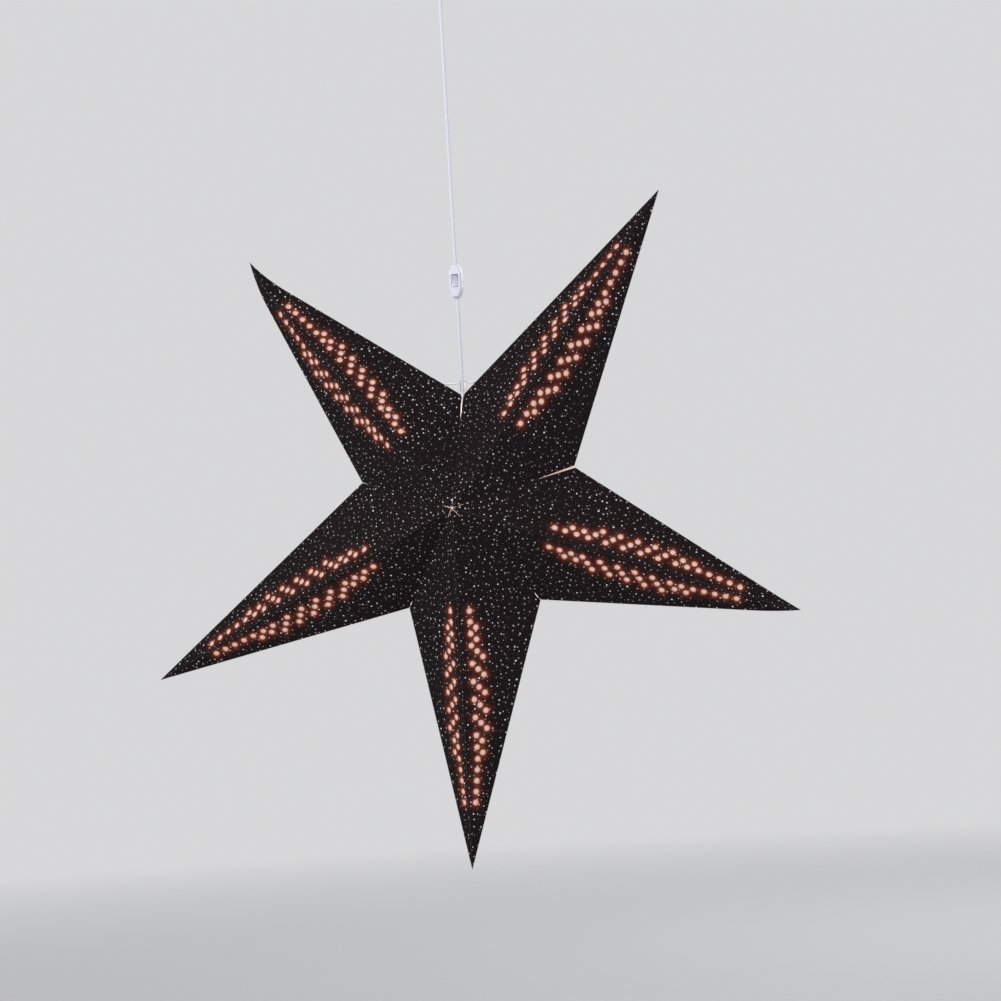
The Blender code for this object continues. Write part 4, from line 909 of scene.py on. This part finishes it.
def paper_point(name, panels):
    sheet = Folded()
    for serial, panel in enumerate(panels, panels[0].index * len(PANELS)):
        places = panel.hole_places()
        halos = [ring(p, min(HALO_RADIUS, beside_line(p, *panel.fold) - FIT)) for p in places]
        holes = [ring(p, HOLE_RADIUS) for p in places]
        sheet.lay(
            flat_triangles(panel.edge(), holes, halos, panel.glow_spots(places)), panel.bent,
            lambda p: (beside_line(p, *panel.fold), beside_line(p, *panel.seam)),
            lambda p: near_hole(p, places, HOLE_RADIUS, HOLE_RADIUS + GLOW_REACH), serial)
        flap, start, run, into = panel.flap()
        sheet.lay(flat_triangles(flap), lambda p: start + run * p.x + into * p.y, serial=serial + FLAP_SERIAL)
    made = sheet.finish(name + "_paper", "black_paper", PAPER, name + "_point")
    made.data.materials.append(FINISHES["paper_inside"])
    made.modifiers["thickness"].material_offset = 1


def lining(name, panels):
    sleeve = Folded()
    shift = inset(panels, PAPER + FIT)
    for panel in panels:
        tip, valley = panel.tip, panel.valley
        edge = [tip * LINING_RIDGE_SHARES[0], tip * LINING_RIDGE_SHARES[1],
                valley.lerp(tip, LINING_EDGE_SHARES[1]), valley.lerp(tip, LINING_EDGE_SHARES[0])]
        slid = Vector((shift.dot(panel.along), shift.dot(panel.across)))
        places = [place - slid for place in panel.hole_places()]
        rings = [ring(p, HOLE_RADIUS * share) for p in places for share in (1.0, 0.75, 0.5)]
        sleeve.lay(
            flat_triangles(edge, (), rings, places), lambda p: panel.bent(p) + shift,
            glow=lambda p: 1 - near_hole(p, places, 0, HOLE_RADIUS))
    sleeve.finish(name + "_lit_lining", "lining_paper", LINING, name + "_lining")


def sprung_edge(panel):
    """The bare edge of a sheet, which runs on under its neighbour where their seam has come apart."""
    end, _ = panel.seam
    run = (end - panel.mouth).normalized()
    beyond = Vector((run.y, -run.x))
    strip = Folded()
    edge = [end, panel.mouth, panel.mouth + beyond * BARE_EDGE_WIDTH, end + beyond * FIT]
    strip.lay(flat_triangles(edge), panel.laid)
    strip.finish("sprung_seam_edge", "bare_edge", PAPER)


def seam_closer(name, panel):
    """A slide-on clip on the flaps of the top seam."""
    slot, wall, deep, long = 2 * PAPER + 3 * FIT, 0.0007, 0.006, 0.016
    flap, start, along, into = panel.flap()
    middle = start + along * ((flap[3].x + flap[2].x) / 2) + into * (FLAP_WIDTH + FIT + wall - deep / 2)
    middle.x = 0
    clip = carved(
        box((slot + 2 * wall, deep, long), (0, 0, 0), 0.0003),
        (CUT, box((slot, deep, long * 1.2), (0, -wall, 0))),
        (CUT, rod(0.0016, slot + 4 * wall, (0, 0, 0), along="X")))
    clip.transform(Matrix.Translation(STAR + middle) @ axes(X, into, X.cross(into)))
    piece(name + "_seam_clip", clip, "clear_plastic", "lantern", name + "_closing_clip")


def paper_star():
    points = [[Panel(index, side, hand) for side, hand in PANELS] for index in range(len(POINTS))]
    for name, panels in zip(POINTS, points):
        paper_point(name, panels)
        lining(name, panels)
    sprung_edge(points[SPRUNG_BEFORE][0])
    seam_closer("front", points[0][1])
    seam_closer("back", points[0][3])


# Hanger and switch

def hanger():
    wire_radius, wire_length, wire_bore = mm(1.1, 58, 1.2)
    collar_radius, collar_length, collar_bevel, half_thickness = mm(2.7, 12.5, 0.4, 1)
    middle = at(0, 0, -495.25)
    wire = rod(wire_radius, wire_length, ROD_CENTRE, along="X", bevel=0.0005)
    piece("hanger_wire", wire, "coated_wire", "lantern", "hanger_rod")
    hook = path((1.4, -491.8), (4.8, -491.8), (5.8, -494.5), (5.5, -497.5), (3.6, -500.2), (1.4, -501.0))
    hook = slab(softened(hook, 0.0008), -half_thickness, half_thickness, collar_bevel, collar_bevel, 3)
    collar = carved(
        rod(collar_radius, collar_length, middle, sides=32, bevel=collar_bevel),
        (JOIN, hook),
        (JOIN, box(mm(6, 3.6, 4.6), ROD_CENTRE - at(0, 0.4, 0), 0.0006)),
        (CUT, rod(CORD_BORE, 0.02, middle, sides=32, flat=0.85)),
        (CUT, rod(wire_bore, 0.012, ROD_CENTRE, along="X")),
        (CUT, box(mm(3, 4, 20), middle - at(0, 3, 0))))
    piece("cord_hook", collar, "clear_plastic", "lantern", "cord_clip", sharp_deg=40)


def switch_outline(half_width, half_length, neck, straight_share=0.36, steps=10):
    """Upright body with shoulders that run in to a neck at each end."""
    shoulder = []
    for t in (i / steps for i in range(steps + 1)):
        x = neck + (half_width - neck) * sin(t * pi / 2) ** 0.9
        shoulder.append((x, half_length * (1 - (1 - straight_share) * t)))
    right = shoulder + [(x, -z) for x, z in reversed(shoulder)]
    return right + [(-x, -z) for x, z in right]


def inline_switch():
    shell = switch_outline(*mm(6.9, 18, 3))
    room = switch_outline(*mm(5.4, 16.5, 1.5))
    depth, room_depth, shell_bevel = mm(6, 4.5, 1.8)
    window = box(mm(7.4, 12, 13.7), at(0, -6, 0), 0.0006)
    entry = rod(CORD_BORE, 0.04, (0, 0, 0), sides=32, flat=0.78)
    screws = (("upper", CASE_SCREW_MM), ("lower", -CASE_SCREW_MM))
    posts = [(JOIN, rod(0.0019, 0.0052, at(0, 3, z), along="Y")) for _, z in screws]
    sinks = [(CUT, rod(0.0021, 0.0026, at(0, 6, z), along="Y")) for _, z in screws]
    for name, node, side, bevels, steps in (
            ("switch_back", "switch_base", BACK, (0, shell_bevel), posts + sinks),
            ("switch_front", "switch_cover", FRONT, (shell_bevel, 0), [(CUT, window)])):
        body = slab(shell, *sorted((side * FIT / 2, side * depth)), *bevels)
        hollow = slab(room, *sorted((0, side * room_depth)))
        half = carved(body, (CUT, hollow), *steps, (CUT, entry))
        half.transform(Matrix.Translation(SWITCH))
        piece(name, half, "white_plastic", "cord_hang", node, sharp_deg=38)
    for name, z in screws:
        place = SWITCH + at(0, 5.9, z)
        outline = [(0, 0), (1.8, 0), (1.8, -1), (0.9, -1), (0.9, -9.4), (0, -9.4)]
        screw = turned(outline, 32, False, 0.0003, place, "Y")
        screw = slotted(screw, place, (0.5, 1.4, 2.4), (2.4, 1.4, 0.5))
        piece("case_screw_" + name, screw, "steel", "cord_hang", "switch_screw_" + name)
    rocker()


def rocker():
    """A rocker with a shallow finger dish and three grip ribs on its off end."""
    half, face, dish = mm(6.25, -3.5, 1.2)
    width, rib_radius, rib_length = mm(6.8, 0.22, 4.6)
    rest_tilt = radians(8)
    shares = [i / 6 - 1 for i in range(13)]
    side_view = [(half * share, face + dish * (1 - share ** 2)) for share in shares]
    side_view += [(half - dish, -face), (dish - half, -face)]
    shape = extruded([(-width / 2, y, z) for z, y in side_view], (width, 0, 0))
    round_edges(shape, [e for e in shape.edges if e.calc_face_angle(0) > 1.2], 0.0005, 3)
    ribs = []
    for z in mm(3, 4, 5):
        place = Vector((0, face + dish * (1 - (z / half) ** 2), z))
        ribs.append((JOIN, rod(rib_radius, rib_length, place, along="X", sides=12)))
    key = carved(to_mesh(shape), *ribs)
    pivot = SWITCH + at(0, -3.9, 0)
    key.transform(Matrix.Translation(pivot) @ Matrix.Rotation(rest_tilt, 4, "X"))
    piece("rocker_key", key, "rocker_plastic", "rocker", "switch_rocker", sharp_deg=40)


# Ceiling cup and what is under it

def ceiling_fitting():
    plate = turned([
        (0, 0), (26, 0), (26, -2), (5, -2), (5, -51.5), (3.6, -51.5), (3.6, -4), (0, -4)], 72, False, 0.0003)
    slots = [(CUT, slot_cutter(Vector((side * BRACKET_SLOT, 0, -0.001)), *mm(4.6, 9, 4)))
             for _, side in HANDS]
    plate = carved(plate, (CUT, box(mm(4.8, 8, 7.6), at(0, -5, -9.3))), *slots)
    piece("bracket_plate", plate, "zinc_plate", "ceiling", "ceiling_bracket")
    for hand, side in HANDS:
        place = Vector((side * BRACKET_SLOT, 0, 0))
        screw = turned([
            (0, -FIT_MM), (1.9, -FIT_MM), (1.9, -2.3), (3.6, -2.3), (3.3, -3.7), (2.2, -4.4), (0, -4.5)],
            32, False, 0.0003, place)
        screw = slotted(screw, place - at(0, 0, 4.5), (0.8, 4, 2), (4, 0.8, 2))
        piece("wood_screw_" + hand, screw, "steel", "ceiling", "ceiling_screw_" + hand)
    cup = [(36, -FIT_MM)] + arc(20, -28, 16, 0, -90, 14)
    cup += [(10, -44), (9.2, -43.4), (5.3, -43.4), (5.3, -42.2)] + arc(20, -28, 14.2, -90, 0, 14)
    cup += [(34.2, -FIT_MM)]
    piece("cup_shell", turned(cup, 96, soften=0.0003), "cup_plastic", "ceiling", "ceiling_cup")
    nut = turned([(5.3, -44.3), (8.8, -44.3), (9, -44.7), (9, -50), (8.1, -52.1), (5.3, -52.1)])
    flutes = []
    for i in range(8):
        turn = 2 * pi * (i + 0.5) / 8
        flutes.append((CUT, rod(0.0009, 0.012, at(9.1 * cos(turn), 9.1 * sin(turn), -49), sides=16)))
    piece("fluted_nut", carved(nut, *flutes), "cup_plastic", "ceiling", "cup_nut")
    bush = turned([
        (3.3, -39.5), (3.3, -51.8), (4.5, -51.8), (4.5, -53), (4, -53.5), (2.3, -53.5), (2.2, -52.5),
        (2.2, -39.5)], 40, soften=0.0002)
    piece("cord_grommet", bush, "white_plastic", "ceiling", "cord_bush")
    wire_block()


def slot_cutter(centre, width, length, thickness):
    """A flat-lying plate with rounded ends."""
    end = arc(0, (length - width) / 2, width / 2, 0, 180, 12)
    mesh = slab(end + [(-x, -y) for x, y in end], -thickness / 2, thickness / 2)
    mesh.transform(Matrix.Translation(centre) @ Matrix.Rotation(pi / 2, 4, "X"))
    return mesh


def wire_block():
    """The wire connector: a moulded block with a wire bore and a clamp screw for each core."""
    steps = [(CUT, box(mm(1.2, 12, 6), BLOCK - at(0, 0, 6)))]
    for _, side in HANDS:
        steps.append((CUT, rod(0.0015, 0.014, BLOCK + at(side * CORE_MM, 0, 0), along="Y")))
        steps.append((CUT, rod(0.0021, 0.004, BLOCK + at(side * CORE_MM, 0, -6), sides=20)))
    block = carved(box(mm(18, 11, 12), BLOCK, 0.0007), *steps)
    piece("wire_connector", block, "white_plastic", "ceiling", "terminal_block")
    for hand, side in HANDS:
        place = BLOCK + at(side * CORE_MM, 0, -4.4)
        screw = slotted(rod(0.0018, 0.0016, place, bevel=0.0002), place - at(0, 0, 0.8), (0.5, 4, 1.2))
        piece("clamp_screw_" + hand, screw, "brass", "ceiling")


# Lampholder and bulb, whose outlines are measured from the star's centre

def star_piece(name, finish, node, outline, body="lantern", closed=True, soften=0.0004):
    piece(name, turned(outline, 48, closed, soften, STAR), finish, body, node)


def lampholder():
    dome = [(4.8, 78)] + arc(6, 70, 8, 90, 0, 10) + [(14, 58), (12.4, 58)]
    dome += arc(6, 70, 6.4, 0, 90, 10) + [(4.8, 76.4)]
    star_piece("holder_dome", "white_plastic", "holder_cap", dome)
    star_piece("holder_barrel", "white_plastic", "holder_skirt", [
        (12.1, 62.7), (12.1, 57.7), (13.6, 57.7), (14, 57.3), (14, 50), (13.7, 49.6), (14, 49.2), (14, 18),
        (13.7, 17.7), (12.4, 17.7), (12.4, 56.1), (11.3, 56.1), (11.3, 62.7)])
    star_piece("cord_gland", "white_plastic", "holder_cord_grip", [
        (2.2, 81.3), (4.3, 81.3), (6.2, 78.6), (6, 78.3), (4.5, 78.3), (4.5, 72.3), (2.2, 72.3)])
    insert = turned([(0, 51), (12.1, 51), (12.1, 41), (0, 41)], 64, False, 0.0005, STAR)
    screws = [(hand, STAR + at(side * 6.5, 0, 51)) for hand, side in HANDS]
    holes = [(CUT, rod(0.0016, 0.0146, place)) for _, place in screws]
    piece("insert_disc", carved(insert, *holes), "ceramic", "lantern", "holder_insert")
    for hand, place in screws:
        outline = [(0, 2.1), (2.6, 2.1), (2.6, 0.3), (1.3, 0.3), (1.3, -5), (0, -5)]
        screw = slotted(turned(outline, 28, False, 0.0003, place), place + at(0, 0, 2.1), (0.6, 6, 1.6))
        piece("clamp_head_" + hand, screw, "brass", "lantern", "terminal_screw_" + hand)
    star_piece("thread_shell", "brass", "threaded_socket", [
        (9.2, 40.7), (9.2, 39.7), (7.8, 39.7), (7.8, 23.2), (7.3, 23.2), (7.3, 40.7)], soften=0.0001)
    star_piece("centre_contact", "brass", "middle_contact", [
        (0, 40.7), (3.4, 40.7), (3.4, 39.8), (2.4, 39.5), (0, 39.5)], closed=False)


def bulb():
    star_piece("bulb_contact", "brass", "bulb_tip", [
        (0, 39.2), (1.3, 39.1), (2.4, 38.6), (2.4, 37.9), (0, 37.9)], "bulb_carriage", False, 0.0002)
    star_piece("bulb_base", "black_glass", "bulb_insulator", [
        (0, 37.6), (3, 37.6), (6.5, 35.1), (6.5, 34.8), (5.7, 34.8), (5.7, 33.4), (0, 33.4)],
        "bulb", False, 0.0002)
    cap = [(6.4, 34.5)]
    for i in range(3):
        crest = 33.39 - THREAD_PITCH_MM * i
        cap += [(6.9, crest), (6.4, crest - THREAD_PITCH_MM / 2)]
    cap += [(6.9, 19.8), (6.5, 19.8), (6, 22.62), (6, 34.5)]
    star_piece("bulb_thread", "brass", "bulb_cap", cap, "bulb", soften=0.0006)
    star_piece("bulb_envelope", "lit_glass", "bulb_glass", envelope(), "bulb", False, 0.0)
    star_piece("bulb_pip", "lit_glass", "bulb_stem", [
        (0, 23.5), (4.4, 23.5), (4.4, 20.5), (1.6, 17.5), (1.6, 5.8), (2, 5.5), (0, 5.5)],
        "bulb", False, 0.0003)
    piece("lit_filament", glowing_wire(), "lit_wire", "bulb", "bulb_filament")


def envelope(radius=17.5, top=19.5, length=78, wall=0.8):
    """The candle's outline, down its inner face and back up its outer one."""
    shares = (                  # of the length and of the radius
        (0, 0.38), (0.06, 0.53), (0.12, 0.7), (0.18, 0.84), (0.26, 0.95), (0.34, 1.0), (0.42, 1.0),
        (0.5, 0.96), (0.58, 0.885), (0.67, 0.77), (0.76, 0.61), (0.84, 0.43), (0.91, 0.26), (0.96, 0.14))
    outer = [(radius * wide, top - length * down) for down, wide in shares]
    inside = [(max(r - wall, wall), h) for r, h in outer]
    neck = [(4.9, top), (4.9, 23.8), (5.7, 23.8), (5.7, top)]
    foot = top - length
    return [(0, foot + 2 * wall), *reversed(inside[1:]), *neck, *outer, (0, foot)]


def glowing_wire(top=4.7, drop=22, width=12, legs=4, leg_steps=6):
    """The filament, which runs down and up between its supports."""
    corners = [STAR + at(width * (leg / legs - 0.5), 0, top - drop * (leg % 2)) for leg in range(legs + 1)]
    route = [a.lerp(b, k / leg_steps) for a, b in zip(corners, corners[1:]) for k in range(leg_steps)]
    route.append(corners[-1])
    wire = bpy.data.curves.new("wire", "CURVE")
    wire.dimensions = "3D"
    wire.bevel_depth = 0.0003
    wire.use_fill_caps = True
    spline = wire.splines.new("POLY")
    spline.points.add(len(route) - 1)
    for point, place in zip(spline.points, route):
        point.co = (*place, 1)
    return evaluated(add("wire", wire))


def carry_over():
    """Nodes whose own shape is right take their finish."""
    for node in ("switch_contact_upper", "switch_contact_lower"):
        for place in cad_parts[node].material_slots:
            place.material = FINISHES["brass"]


make_finishes()
set_camera()
cords()
for settings in LAMPS:
    add_lamp(*settings)
set_world()
floor()
paper_star()
hanger()
inline_switch()
ceiling_fitting()
lampholder()
bulb()
carry_over()
